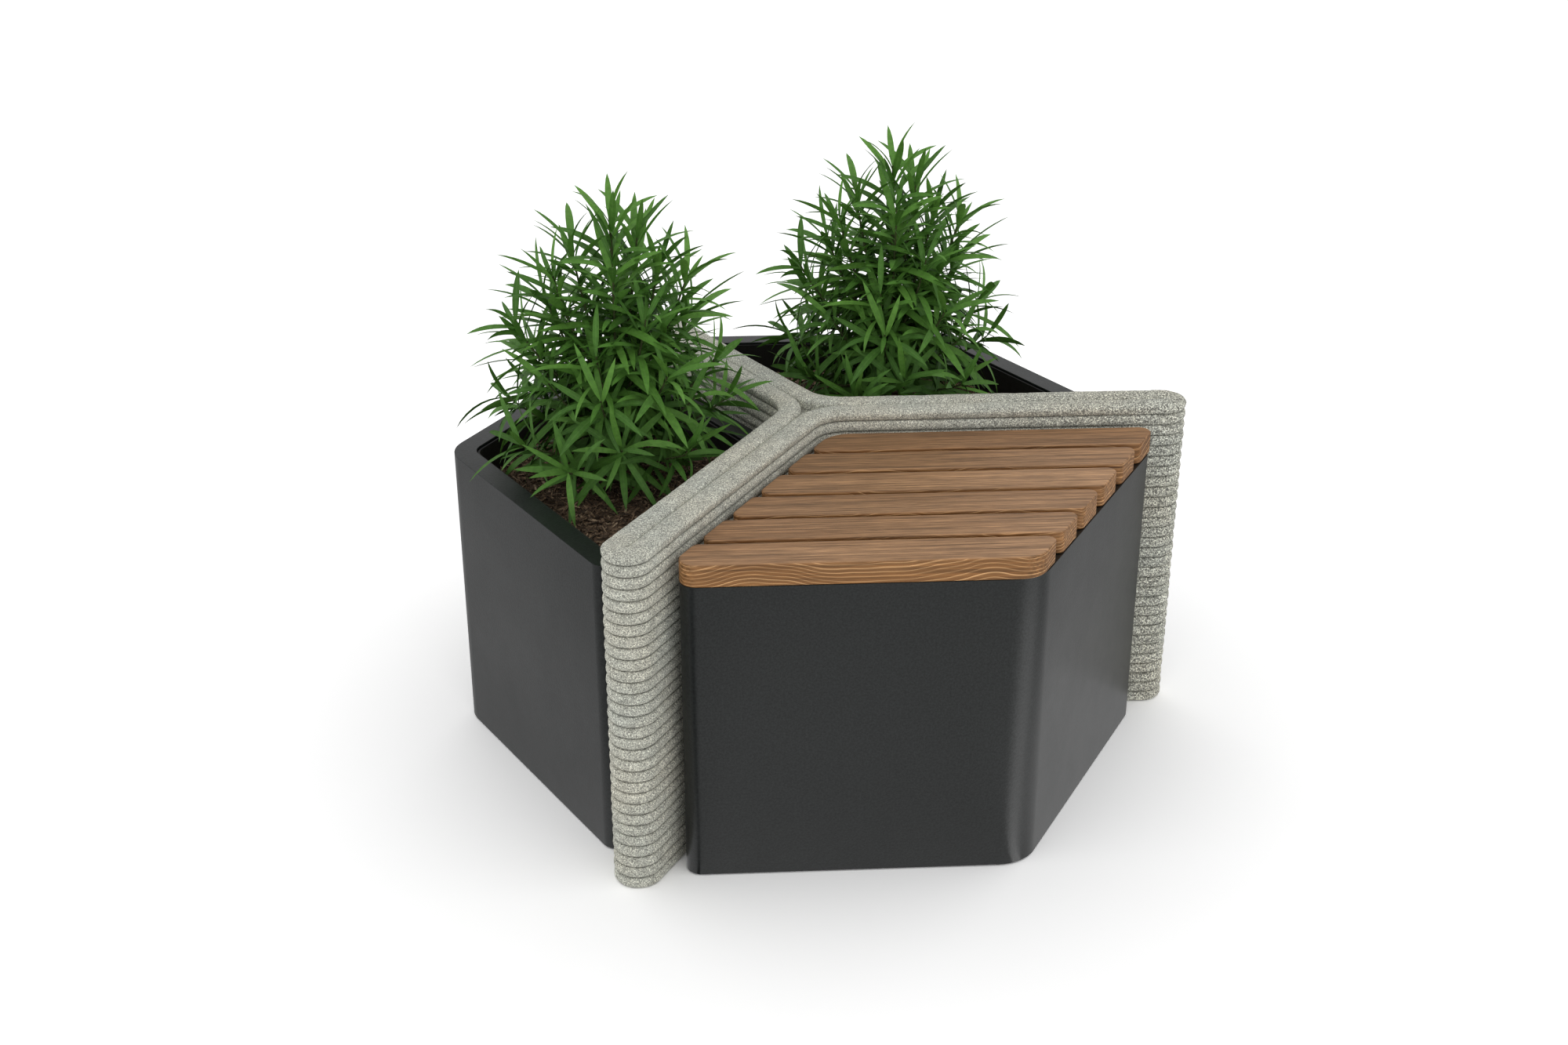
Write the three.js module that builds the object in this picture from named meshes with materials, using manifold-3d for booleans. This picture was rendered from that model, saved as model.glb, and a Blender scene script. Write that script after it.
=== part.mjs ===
// A bench with planters for streets and parks: a printed concrete wall of three arms at equal
// angles, a slatted seat module in one of its bays and a planted module in each of the other two.
// Millimetres, +Z up. The origin is on the floor under the middle of the wall, the right arm
// points along +X, and the seat's front faces -Y.
import * as THREE from "three";
import { mergeVertices } from "three/addons/utils/BufferGeometryUtils.js";
import Module from "manifold-3d";

const wasm = await Module();
wasm.setup();

// General clearances
const FIT_GAP = 0.3; // between pieces that touch or are joined
const CUT_OVERRUN = 5; // how far a cutting solid runs past what it cuts
const MERGE_DISTANCE = 1e-4; // points of a mesh that are nearer than this are one

// The printed wall
const COURSE_COUNT = 30;
const COURSE_HEIGHT = 16;
const WALL_THICKNESS = 65.4;
const ARM_LENGTH = 532.4; // from the middle of the wall to the tip of an arm
const HUB_FILLET_RADIUS = 50;
const BEAD_GROOVE_DEPTH = 4;
const COURSE_CREST_SHARE = 0.5; // share of a course's height that its crest takes
const TOP_ROUNDING = 7;
const CREVICE_WIDTH = 14; // where the two beads of an arm meet on the top
const CREVICE_DEPTH = 7;
const HUB_RECESS_RADIUS = 24;
const CAP_STEPS = 6;
const FILLET_STEPS = 2;

// The steel shell, the same in all three modules
const MODULE_GAP = 10.7; // shadow gap between the wall and a shell
const MODULE_REACH = 439.6; // from an arm's centreline to the shell's far face
const SHELL_HEIGHT = 421;
const SHELL_THICKNESS = 3;
const SHELL_SKIRT_GAP = 2; // from the floor to the shell's lower edge
const RIM_WIDTH = 31;
const FOLD_RADIUS = 1.5;
const OUTER_CORNER_RADIUS = 59;
const SIDE_CORNER_RADIUS = 21;
const HUB_CORNER_RADIUS = 50;
const LEAST_CORNER_RADIUS = 4;
const CORNER_STEPS = 4;

// The base frame of steel angle, and its levelling feet
const FRAME_LEG_HEIGHT = 30;
const FRAME_THICKNESS = 3;
const FRAME_LIFT = 14; // from the floor to the frame's underside
const LINER_SEAT = 11.3; // how far the frame's legs reach in under a planter's tub
const STEM_CLEARANCE = 1; // from a foot's stem to the side of the tub
const FOOT_PAD_RADIUS = 16;
const FOOT_PAD_HEIGHT = 8;
const FOOT_COLLAR_RADIUS = 9;
const FOOT_STEM_RADIUS = 5;
const FOOT_STEM_REACH = 12; // how far the stem stands above the frame's leg
const TURNED_SIDES = 8;

// The seat slats and their screws
const SLAT_COUNT = 6;
const SLAT_GAP = 8;
const SLAT_THICKNESS = 30.8;
const SLAT_OVERHANG = 1; // past the shell's two outer faces
const SLAT_CORNER_RADIUS = 9;
const SLAT_EDGE_ROUNDING = 2;
const SCREW_RADIUS = 2.5;
const SCREW_HEAD_RADIUS = 5;
const SCREW_HEAD_HEIGHT = 3;
const SCREW_COVER = 10.8; // wood left above a screw's tip

// The tie bolts through the wall
const TIE_RADIUS = 6;
const TIE_COURSE = 13; // the course, counted from the floor, that the bolts pass through
const TIE_HEAD_RADIUS = 10.5;
const TIE_HEAD_HEIGHT = 7.5;
const TIE_NUT_HEIGHT = 10;
const TIE_END_REACH = 3; // of the thread past the nut
const SPACER_RADIUS = 12;
const HEX_SIDES = 6;

// The planters' filling
const LINER_SETBACK = 1; // behind the rim's inner edge
const LINER_THICKNESS = 3;
const DRAIN_RADIUS = 9;
const DRAIN_SPACING = 90;
const DRAIN_SIDE_COUNT = 1; // drains on each side of the middle one
const DRAINAGE_DEPTH = 45;
const MULCH_DEPTH = 30;
const MULCH_DROP = 45; // from the rim down to the mulch

// The shrub
const SHRUB_SETBACK = 9; // from the middle of the planter towards the wall's middle
const SHRUB_HEIGHT = 444; // above the mulch
const SHRUB_SPREAD = 150; // from the stem to the outer tufts
const CROWN_RADIUS = 13;
const CROWN_HEIGHT = 22; // above the mulch
const CROWN_DEPTH = 60; // below the mulch
const LEADER_RADIUS = 4;
const TWIG_RADIUS = 2.5;
const TWIG_SIDES = 3;
const FORK_SHARE = 0.45; // where a twig leaves the leader, as a share of its tuft's height
const KNOT_RADIUS = 5; // where the leaves of a tuft meet
const LEAF_LENGTH = 90;
const LEAF_WIDTH = 13;
const LEAF_THICKNESS = 3;
const LEAF_CLEARANCE = 6; // above the mulch and the rim
const LEAVES_PER_TUFT = 7;
const LEAF_WIDEST_SHARE = 0.42;
const LEAF_ARCH_SHARE = 0.06;
// Each tuft of leaves, the leader's first: right, away from the seat's front, and up, as shares
// of spread and height
const TUFT_SHARES = [
  [0, 0, 0.84],
  [0.5, 0.1, 0.68],
  [-0.28, -0.3, 0.65],
  [0.1, 0.45, 0.6],
  [-0.5, 0.1, 0.59],
  [0.3, -0.38, 0.57],
  [0.75, 0, 0.54],
  [-0.92, 0, 0.48],
  [-0.15, -0.5, 0.47],
  [0.5, 0.45, 0.46],
  [-0.4, 0.65, 0.4],
  [0.48, -0.5, 0.4],
  [0.82, 0.25, 0.38],
  [-0.6, -0.3, 0.36],
  [-0.12, -0.68, 0.35],
  [0.5, 0.8, 0.32],
  [0.72, -0.35, 0.31],
  [0.1, 0.5, 0.3],
  [-0.94, 0.12, 0.25],
  [0.95, 0.1, 0.24],
  [0.06, -0.9, 0.22],
  [-0.8, 0.6, 0.22],
  [0.1, 0.95, 0.2],
  [-0.87, -0.53, 0.19],
  [-0.42, -0.98, 0.18],
  [0.64, -0.75, 0.18],
];

// Derived sizes
const FULL_TURN = 2 * Math.PI;
const BAY_ANGLE = FULL_TURN / 3;
const HALF_BAY = BAY_ANGLE / 2;
const wallHeight = COURSE_COUNT * COURSE_HEIGHT;
const wallHalf = WALL_THICKNESS / 2;
const shellFace = wallHalf + MODULE_GAP; // from an arm's centreline to the shell's near face
const frameTop = FRAME_LIFT + FRAME_THICKNESS;
const frameInset = SHELL_THICKNESS + FIT_GAP;
const linerInset = RIM_WIDTH + LINER_SETBACK;
const footInset = linerInset - FOOT_STEM_RADIUS - STEM_CLEARANCE;
const screwInset = (SHELL_THICKNESS + RIM_WIDTH) / 2; // the middle of the rim
const screwBite = SLAT_THICKNESS - SCREW_COVER;
const linerFloor = frameTop + FIT_GAP;
const linerTop = SHELL_HEIGHT - SHELL_THICKNESS - FIT_GAP;
const fillInset = linerInset + LINER_THICKNESS + FIT_GAP;
const mulchTop = SHELL_HEIGHT - MULCH_DROP;
const tieHeight = (TIE_COURSE + 1 / 2) * COURSE_HEIGHT;
const tieAlong = (MODULE_REACH / Math.sin(HALF_BAY)) / 2;
const shrubPlace = (shellFace + MODULE_REACH) / 2 / Math.sin(HALF_BAY) - SHRUB_SETBACK;

// Solids and meshes
function toSolid(geometry) {
  const bare = geometry.index ? geometry.toNonIndexed() : geometry.clone();
  for (const name of Object.keys(bare.attributes)) {
    if (name !== "position") bare.deleteAttribute(name);
  }
  const merged = mergeVertices(bare, MERGE_DISTANCE);
  return new wasm.Manifold(
    new wasm.Mesh({
      numProp: 3,
      vertProperties: merged.attributes.position.array,
      triVerts: new Uint32Array(merged.index.array),
    }),
  );
}

function toGeometry(solid) {
  const mesh = solid.getMesh();
  const geometry = new THREE.BufferGeometry();
  geometry.setAttribute("position", new THREE.BufferAttribute(mesh.vertProperties, 3));
  geometry.setIndex(new THREE.BufferAttribute(mesh.triVerts, 1));
  const faceted = geometry.toNonIndexed();
  faceted.computeVertexNormals();
  return faceted;
}

function join(solids) {
  return wasm.Manifold.union(solids);
}

function cut(solid, cutters) {
  return solid.subtract(join(cutters));
}

// A mesh of one sub-part, made from a solid or a geometry
function piece(name, shape, material) {
  const geometry = shape.isBufferGeometry ? shape : toGeometry(shape);
  const mesh = new THREE.Mesh(geometry, material.clone());
  mesh.name = name;
  return mesh;
}

// A solid whose outline changes with height: levels are pairs of an inset and a height
function loft(outlineAt, levels) {
  const rings = levels.map(([inset, height]) =>
    outlineAt(inset).map((p) => new THREE.Vector3(p.x, p.y, height)),
  );
  const count = rings[0].length;
  const positions = rings.flat().flatMap((p) => [p.x, p.y, p.z]);
  const faces = [];
  for (let level = 0; level + 1 < rings.length; level += 1) {
    for (let i = 0; i < count; i += 1) {
      const here = level * count + i;
      const next = level * count + ((i + 1) % count);
      faces.push(here, next, next + count);
      faces.push(here, next + count, here + count);
    }
  }
  const floorRing = rings[0].map((p) => new THREE.Vector2(p.x, p.y));
  const roofRing = rings[rings.length - 1].map((p) => new THREE.Vector2(p.x, p.y));
  const roofStart = (rings.length - 1) * count;
  for (const [a, b, c] of THREE.ShapeUtils.triangulateShape(floorRing, [])) {
    faces.push(a, c, b);
  }
  for (const [a, b, c] of THREE.ShapeUtils.triangulateShape(roofRing, [])) {
    faces.push(roofStart + a, roofStart + b, roofStart + c);
  }
  const geometry = new THREE.BufferGeometry();
  geometry.setAttribute("position", new THREE.Float32BufferAttribute(positions, 3));
  geometry.setIndex(faces);
  return toSolid(geometry);
}

// A turned solid about the Z axis: profile points are a radius and a height
function turned(profile, sides = TURNED_SIDES) {
  const points = profile.map(([radius, height]) => new THREE.Vector2(radius, height));
  const geometry = new THREE.LatheGeometry(points, sides);
  geometry.rotateX(FULL_TURN / 4);
  return toSolid(geometry);
}

function rod(radius, bottom, top, sides = TURNED_SIDES) {
  return turned([[0, bottom], [radius, bottom], [radius, top], [0, top]], sides);
}

function placed(solid, x, y, z = 0) {
  return solid.translate([x, y, z]);
}

// Outlines in plan
function onCircle(centre, radius, angle) {
  return new THREE.Vector2(
    centre.x + radius * Math.cos(angle),
    centre.y + radius * Math.sin(angle),
  );
}

function arc(centre, radius, start, sweep, steps) {
  return Array.from({ length: steps + 1 }, (_, i) =>
    onCircle(centre, radius, start + (sweep * i) / steps),
  );
}

const ORIGIN = new THREE.Vector2(0, 0);

// The wall's outline: a round end on each arm, and a fillet between each two arms
function wallOutline(inset) {
  const points = [];
  for (let i = 0; i < 3; i += 1) {
    const along = i * BAY_ANGLE;
    const capCentre = onCircle(ORIGIN, ARM_LENGTH - wallHalf, along);
    const start = along - FULL_TURN / 4;
    points.push(...arc(capCentre, wallHalf - inset, start, FULL_TURN / 2, CAP_STEPS));
    const filletReach = (wallHalf + HUB_FILLET_RADIUS) / Math.sin(HALF_BAY);
    const filletCentre = onCircle(ORIGIN, filletReach, along + HALF_BAY);
    points.push(
      ...arc(filletCentre, HUB_FILLET_RADIUS + inset, start, HALF_BAY - BAY_ANGLE, FILLET_STEPS),
    );
  }
  return points;
}

// A place in a bay, from its distances to the centrelines of its two arms. The bay's middle
// line is +X here, and the arms lie half a bay's angle to its left and right.
function bayPoint(fromLeft, fromRight) {
  return new THREE.Vector2(
    (fromLeft + fromRight) / (2 * Math.sin(HALF_BAY)),
    (fromRight - fromLeft) / (2 * Math.cos(HALF_BAY)),
  );
}

function roundCorners(corners) {
  return corners.flatMap(({ at, radius }, i) => {
    const before = corners[(i + corners.length - 1) % corners.length].at;
    const after = corners[(i + 1) % corners.length].at;
    const toBefore = before.clone().sub(at).normalize();
    const toAfter = after.clone().sub(at).normalize();
    const half = Math.acos(toBefore.dot(toAfter)) / 2;
    const inward = toBefore.clone().add(toAfter).normalize();
    const centre = at.clone().addScaledVector(inward, radius / Math.sin(half));
    const start = at.clone().addScaledVector(toBefore, radius / Math.tan(half)).sub(centre);
    return arc(centre, radius, start.angle(), FULL_TURN / 2 - 2 * half, CORNER_STEPS);
  });
}

// A strip across a bay with rounded corners, as an outline that takes an inset
function stripOutline(strip) {
  return (inset) => {
    const radius = (full) => Math.max(full - inset, LEAST_CORNER_RADIUS);
    return roundCorners([
      { at: bayPoint(strip.near + inset, strip.start + inset), radius: radius(strip.hubRadius) },
      { at: bayPoint(strip.far - inset, strip.start + inset), radius: radius(strip.rightRadius) },
      { at: bayPoint(strip.far - inset, strip.end - inset), radius: radius(strip.outerRadius) },
      { at: bayPoint(strip.near + inset, strip.end - inset), radius: radius(strip.leftRadius) },
    ]);
  };
}

const moduleOutline = stripOutline({
  near: shellFace,
  far: MODULE_REACH,
  start: shellFace,
  end: MODULE_REACH,
  hubRadius: HUB_CORNER_RADIUS,
  rightRadius: SIDE_CORNER_RADIUS,
  outerRadius: OUTER_CORNER_RADIUS,
  leftRadius: SIDE_CORNER_RADIUS,
});

function moduleBlock(inset, bottom, top) {
  return loft(moduleOutline, [[inset, bottom], [inset, top]]);
}

// Materials
function finish(colour, roughness, metalness) {
  return new THREE.MeshStandardMaterial({ color: colour, roughness, metalness });
}

const concrete = finish(0xafafa5, 0.95, 0);
const paintedSteel = finish(0x3a3e3e, 0.5, 0.2);
const plainSteel = finish(0x8a8d8f, 0.4, 0.9);
const hardwood = finish(0x96694a, 0.6, 0);
const footRubber = finish(0x1c1c1c, 0.8, 0);
const linerPlastic = finish(0x101012, 0.7, 0);
const clayBalls = finish(0x8c5a3c, 0.95, 0);
const soil = finish(0x2c2119, 1, 0);
const bark = finish(0x4a3024, 0.95, 0);
const foliage = finish(0x2f6424, 0.6, 0);

// A cutter or a rod that lies square to an arm: along the arm, at a height, from side to side
function acrossArm(solid, armAngle, along, height) {
  const lying = solid.rotate([-90, 0, 0]);
  const there = lying.translate([along, 0, height]);
  return there.rotate([0, 0, THREE.MathUtils.radToDeg(armAngle)]);
}

// The printed wall: stacked courses, with the crevices where its beads meet on the top
function makeWall() {
  const shoulder = ((1 - COURSE_CREST_SHARE) / 2) * COURSE_HEIGHT;
  const levels = [];
  for (let course = 0; course < COURSE_COUNT; course += 1) {
    const bottom = course * COURSE_HEIGHT;
    levels.push([BEAD_GROOVE_DEPTH, bottom], [0, bottom + shoulder]);
    const isTop = course === COURSE_COUNT - 1;
    levels.push([0, bottom + COURSE_HEIGHT - (isTop ? TOP_ROUNDING : shoulder)]);
  }
  levels.push([TOP_ROUNDING, wallHeight]);
  const cutters = [];
  const crevice = new THREE.Shape([
    new THREE.Vector2(-CREVICE_WIDTH / 2, 0),
    new THREE.Vector2(0, -CREVICE_DEPTH),
    new THREE.Vector2(CREVICE_WIDTH / 2, 0),
    new THREE.Vector2(CREVICE_WIDTH / 2, CUT_OVERRUN),
    new THREE.Vector2(-CREVICE_WIDTH / 2, CUT_OVERRUN),
  ]);
  const recess = [];
  for (let i = 0; i < 3; i += 1) {
    const armAngle = i * BAY_ANGLE;
    const groove = new THREE.ExtrudeGeometry(crevice, {
      depth: ARM_LENGTH - wallHalf,
      bevelEnabled: false,
    });
    groove.rotateX(FULL_TURN / 4);
    groove.rotateZ(FULL_TURN / 4 + armAngle);
    groove.translate(0, 0, wallHeight);
    cutters.push(toSolid(groove));
    recess.push(onCircle(ORIGIN, HUB_RECESS_RADIUS, armAngle));
    cutters.push(acrossArm(tieHole(-wallHalf, wallHalf), armAngle, tieAlong, tieHeight));
  }
  const pit = new THREE.ExtrudeGeometry(new THREE.Shape(recess), {
    depth: CREVICE_DEPTH + CUT_OVERRUN,
    bevelEnabled: false,
  });
  pit.translate(0, 0, wallHeight - CREVICE_DEPTH);
  cutters.push(toSolid(pit));
  return cut(loft(wallOutline, levels), cutters);
}

function tieHole(from, to) {
  return rod(TIE_RADIUS + FIT_GAP, from - CUT_OVERRUN, to + CUT_OVERRUN);
}

// Tie bolts, nuts and spacers: the bolt's head is on one side of the arm, its nut on the other
function makeTie(arm) {
  const group = new THREE.Group();
  const seat = shellFace + SHELL_THICKNESS + FIT_GAP;
  const shaft = rod(TIE_RADIUS, -seat, seat + TIE_NUT_HEIGHT + TIE_END_REACH);
  const head = rod(TIE_HEAD_RADIUS, -seat - TIE_HEAD_HEIGHT, -seat, HEX_SIDES);
  const nut = cut(rod(TIE_HEAD_RADIUS, seat, seat + TIE_NUT_HEIGHT, HEX_SIDES), [
    tieHole(seat, seat + TIE_NUT_HEIGHT),
  ]);
  const pieces = [
    ["tie_bolt_" + arm.name, join([shaft, head])],
    ["tie_nut_" + arm.name, nut],
  ];
  const sides = [[arm.before, -1], [arm.after, 1]];
  for (const [bayName, side] of sides) {
    const near = wallHalf + FIT_GAP;
    const far = shellFace - FIT_GAP;
    const ring = cut(rod(SPACER_RADIUS, near, far), [tieHole(near, far)]);
    const turnedRing = side > 0 ? ring : ring.rotate([180, 0, 0]);
    pieces.push(["spacer_" + arm.name + "_" + bayName + "_side", turnedRing]);
  }
  for (const [name, solid] of pieces) {
    const lying = acrossArm(solid, 0, tieAlong, tieHeight);
    group.add(piece(name, lying, plainSteel));
  }
  group.rotation.z = arm.angle;
  return group;
}

// The shell: skin, turned-in rim at the top, and a hole for the tie bolt in each near face
function makeShell(rimCutters) {
  const body = loft(moduleOutline, [
    [0, SHELL_SKIRT_GAP],
    [0, SHELL_HEIGHT - FOLD_RADIUS],
    [FOLD_RADIUS, SHELL_HEIGHT],
  ]);
  const inside = moduleBlock(
    SHELL_THICKNESS,
    SHELL_SKIRT_GAP - CUT_OVERRUN,
    SHELL_HEIGHT - SHELL_THICKNESS,
  );
  const mouth = moduleBlock(
    RIM_WIDTH,
    SHELL_HEIGHT - SHELL_THICKNESS - CUT_OVERRUN,
    SHELL_HEIGHT + CUT_OVERRUN,
  );
  const nearHole = tieHole(shellFace, shellFace + SHELL_THICKNESS);
  const farHole = nearHole.rotate([180, 0, 0]);
  return cut(body, [
    inside,
    mouth,
    acrossArm(farHole, HALF_BAY, tieAlong, tieHeight),
    acrossArm(nearHole, -HALF_BAY, tieAlong, tieHeight),
    ...rimCutters,
  ]);
}

// Where the four feet of a module stand
function footPlaces() {
  const near = shellFace + footInset;
  const far = MODULE_REACH - footInset;
  return {
    hub: bayPoint(near, near),
    right: bayPoint(far, near),
    outer: bayPoint(far, far),
    left: bayPoint(near, far),
  };
}

// The base frame: a ring of steel angle just inside the foot of the shell
function makeBaseFrame() {
  const frameHigh = FRAME_LIFT + FRAME_LEG_HEIGHT;
  const hole = rod(
    FOOT_STEM_RADIUS + FIT_GAP,
    FRAME_LIFT - CUT_OVERRUN,
    frameTop + CUT_OVERRUN,
  );
  const holes = Object.values(footPlaces()).map((at) => placed(hole, at.x, at.y));
  return cut(moduleBlock(frameInset, FRAME_LIFT, frameHigh), [
    moduleBlock(frameInset + FRAME_THICKNESS, frameTop, frameHigh + CUT_OVERRUN),
    moduleBlock(linerInset + LINER_SEAT, FRAME_LIFT - CUT_OVERRUN, frameTop + CUT_OVERRUN),
    ...holes,
  ]);
}

// A levelling foot: pad, collar under the frame's leg, and stem through it
function makeFoot() {
  const collarTop = FRAME_LIFT - FIT_GAP;
  return turned([
    [0, 0],
    [FOOT_PAD_RADIUS, 0],
    [FOOT_PAD_RADIUS, FOOT_PAD_HEIGHT],
    [FOOT_COLLAR_RADIUS, FOOT_PAD_HEIGHT],
    [FOOT_COLLAR_RADIUS, collarTop],
    [FOOT_STEM_RADIUS, collarTop],
    [FOOT_STEM_RADIUS, frameTop + FOOT_STEM_REACH],
    [0, frameTop + FOOT_STEM_REACH],
  ]);
}

function addFrameAndFeet(group, moduleName) {
  group.add(piece(moduleName + "_base_frame", makeBaseFrame(), paintedSteel));
  for (const [corner, at] of Object.entries(footPlaces())) {
    const foot = piece(moduleName + "_foot_" + corner, makeFoot(), footRubber);
    foot.position.set(at.x, at.y, 0);
    group.add(foot);
  }
}

// The seat: slats across the shell from side to side, each with a screw at either end
function slatStrips() {
  const depth = MODULE_REACH + SLAT_OVERHANG - shellFace;
  const width = (depth - (SLAT_COUNT - 1) * SLAT_GAP) / SLAT_COUNT;
  return Array.from({ length: SLAT_COUNT }, (_, i) => {
    const far = MODULE_REACH + SLAT_OVERHANG - i * (width + SLAT_GAP);
    const isFront = i === 0;
    const isBack = i === SLAT_COUNT - 1;
    return {
      near: far - width,
      far,
      start: shellFace,
      end: MODULE_REACH + SLAT_OVERHANG,
      hubRadius: isBack ? HUB_CORNER_RADIUS : SLAT_CORNER_RADIUS,
      rightRadius: isFront ? SIDE_CORNER_RADIUS : SLAT_CORNER_RADIUS,
      outerRadius: isFront ? OUTER_CORNER_RADIUS : SLAT_CORNER_RADIUS,
      leftRadius: isBack ? SIDE_CORNER_RADIUS : SLAT_CORNER_RADIUS,
    };
  });
}

function screwPlaces(strip) {
  const middle = (strip.near + strip.far) / 2;
  return {
    left: bayPoint(middle, shellFace + screwInset),
    right: bayPoint(middle, MODULE_REACH - screwInset),
  };
}

function makeSlat(strip) {
  const bottom = SHELL_HEIGHT + FIT_GAP;
  const top = bottom + SLAT_THICKNESS;
  const board = loft(stripOutline(strip), [
    [SLAT_EDGE_ROUNDING, bottom],
    [0, bottom + SLAT_EDGE_ROUNDING],
    [0, top - SLAT_EDGE_ROUNDING],
    [SLAT_EDGE_ROUNDING, top],
  ]);
  const pilot = rod(SCREW_RADIUS + FIT_GAP, bottom - CUT_OVERRUN, bottom + screwBite + FIT_GAP);
  return cut(
    board,
    Object.values(screwPlaces(strip)).map((at) => placed(pilot, at.x, at.y)),
  );
}

function makeScrew() {
  const flangeUnderside = SHELL_HEIGHT - SHELL_THICKNESS - FIT_GAP;
  const headBottom = flangeUnderside - SCREW_HEAD_HEIGHT;
  return turned([
    [0, headBottom],
    [SCREW_HEAD_RADIUS, headBottom],
    [SCREW_HEAD_RADIUS, flangeUnderside],
    [SCREW_RADIUS, flangeUnderside],
    [SCREW_RADIUS, SHELL_HEIGHT + FIT_GAP + screwBite],
    [0, SHELL_HEIGHT + FIT_GAP + screwBite],
  ]);
}

function makeBench() {
  const group = new THREE.Group();
  const strips = slatStrips();
  const flangeHole = rod(
    SCREW_RADIUS + FIT_GAP,
    SHELL_HEIGHT - SHELL_THICKNESS - CUT_OVERRUN,
    SHELL_HEIGHT + CUT_OVERRUN,
  );
  const flangeHoles = strips.flatMap((strip) =>
    Object.values(screwPlaces(strip)).map((at) => placed(flangeHole, at.x, at.y)),
  );
  group.add(piece("bench_shell", makeShell(flangeHoles), paintedSteel));
  addFrameAndFeet(group, "bench");
  strips.forEach((strip, i) => {
    group.add(piece("seat_slat_" + (i + 1), makeSlat(strip), hardwood));
    for (const [side, at] of Object.entries(screwPlaces(strip))) {
      const screw = piece("slat_screw_" + (i + 1) + "_" + side, makeScrew(), plainSteel);
      screw.position.set(at.x, at.y, 0);
      group.add(screw);
    }
  });
  return group;
}

// The planter's filling, from the floor of its tub upwards
function makeLiner() {
  const tub = moduleBlock(linerInset, linerFloor, linerTop);
  const hollow = moduleBlock(
    linerInset + LINER_THICKNESS,
    linerFloor + LINER_THICKNESS,
    linerTop + CUT_OVERRUN,
  );
  const cutters = [hollow];
  for (let i = -DRAIN_SIDE_COUNT; i <= DRAIN_SIDE_COUNT; i += 1) {
    const drain = rod(
      DRAIN_RADIUS,
      linerFloor - CUT_OVERRUN,
      linerFloor + LINER_THICKNESS + CUT_OVERRUN,
    );
    cutters.push(placed(drain, shrubPlace + i * DRAIN_SPACING, 0));
  }
  return cut(tub, cutters);
}

// Whether a leaf's tip is clear of the wall, the rim and the mulch, in the bay's own frame
function isClear(tip) {
  const fromLeft = tip.x * Math.sin(HALF_BAY) - tip.y * Math.cos(HALF_BAY);
  const fromRight = tip.x * Math.sin(HALF_BAY) + tip.y * Math.cos(HALF_BAY);
  const nearest = Math.min(fromLeft, fromRight) - shellFace;
  const furthest = MODULE_REACH - Math.max(fromLeft, fromRight);
  const inOpening = Math.min(nearest, furthest) > fillInset + LEAF_WIDTH;
  const ground = inOpening ? mulchTop : SHELL_HEIGHT;
  return nearest > LEAF_CLEARANCE && tip.z > ground + LEAF_CLEARANCE;
}

// A face's three points in turn, from the one where its most level edge begins
function fromLevelEdge(face) {
  const turns = face.map((_, i) => [face[i], face[(i + 1) % 3], face[(i + 2) % 3]]);
  const slope = ([from, to]) => Math.abs(to.z - from.z);
  return turns.reduce((best, turn) => (slope(turn) < slope(best) ? turn : best));
}

// The three points of a leaf's widest section: flat along the level edge of the face it grows from
function leafSection([from, to, third], centre) {
  const side = to.clone().sub(from).normalize();
  const over = third.clone().sub(from.clone().add(to).divideScalar(2)).normalize();
  return [
    centre.clone().addScaledVector(side, -LEAF_WIDTH / 2),
    centre.clone().addScaledVector(side, LEAF_WIDTH / 2),
    centre.clone().addScaledVector(over, LEAF_THICKNESS),
  ];
}

// The faces of a knot of unit size, and its pole: the faces nearest the pole come first
function unitKnot() {
  const points = new THREE.IcosahedronGeometry(1, 0).attributes.position;
  const corner = (i) => new THREE.Vector3().fromBufferAttribute(points, i);
  const pole = corner(0).normalize();
  const faces = [];
  for (let i = 0; i < points.count; i += 3) {
    const face = [corner(i), corner(i + 1), corner(i + 2)];
    const way = face[0].clone().add(face[1]).add(face[2]).normalize();
    faces.push({ face, lean: way.dot(pole) });
  }
  faces.sort((one, other) => other.lean - one.lean);
  return { faces: faces.map(({ face }) => face), pole };
}

// A face of a knot in place, and the leaf that can be drawn out of it: its sides and its tip
function drawLeaf(unitFace, turn, at) {
  const grown = unitFace.map((p) => p.clone().applyQuaternion(turn).multiplyScalar(KNOT_RADIUS));
  const face = fromLevelEdge(grown);
  const way = face[0].clone().add(face[1]).add(face[2]).normalize();
  const tip = way.clone().multiplyScalar(LEAF_LENGTH);
  const middle = way.clone().multiplyScalar(LEAF_LENGTH * LEAF_WIDEST_SHARE);
  middle.z += LEAF_LENGTH * LEAF_ARCH_SHARE;
  const ring = leafSection(face, middle);
  const place = (p) => p.clone().add(at);
  const sides = [];
  for (let j = 0; j < 3; j += 1) {
    const k = (j + 1) % 3;
    sides.push(face[j], face[k], ring[k], face[j], ring[k], ring[j], ring[j], ring[k], tip);
  }
  return { face: face.map(place), sides: sides.map(place), tip: place(tip) };
}

function fromTriangles(points) {
  return toSolid(new THREE.BufferGeometry().setFromPoints(points));
}

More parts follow.
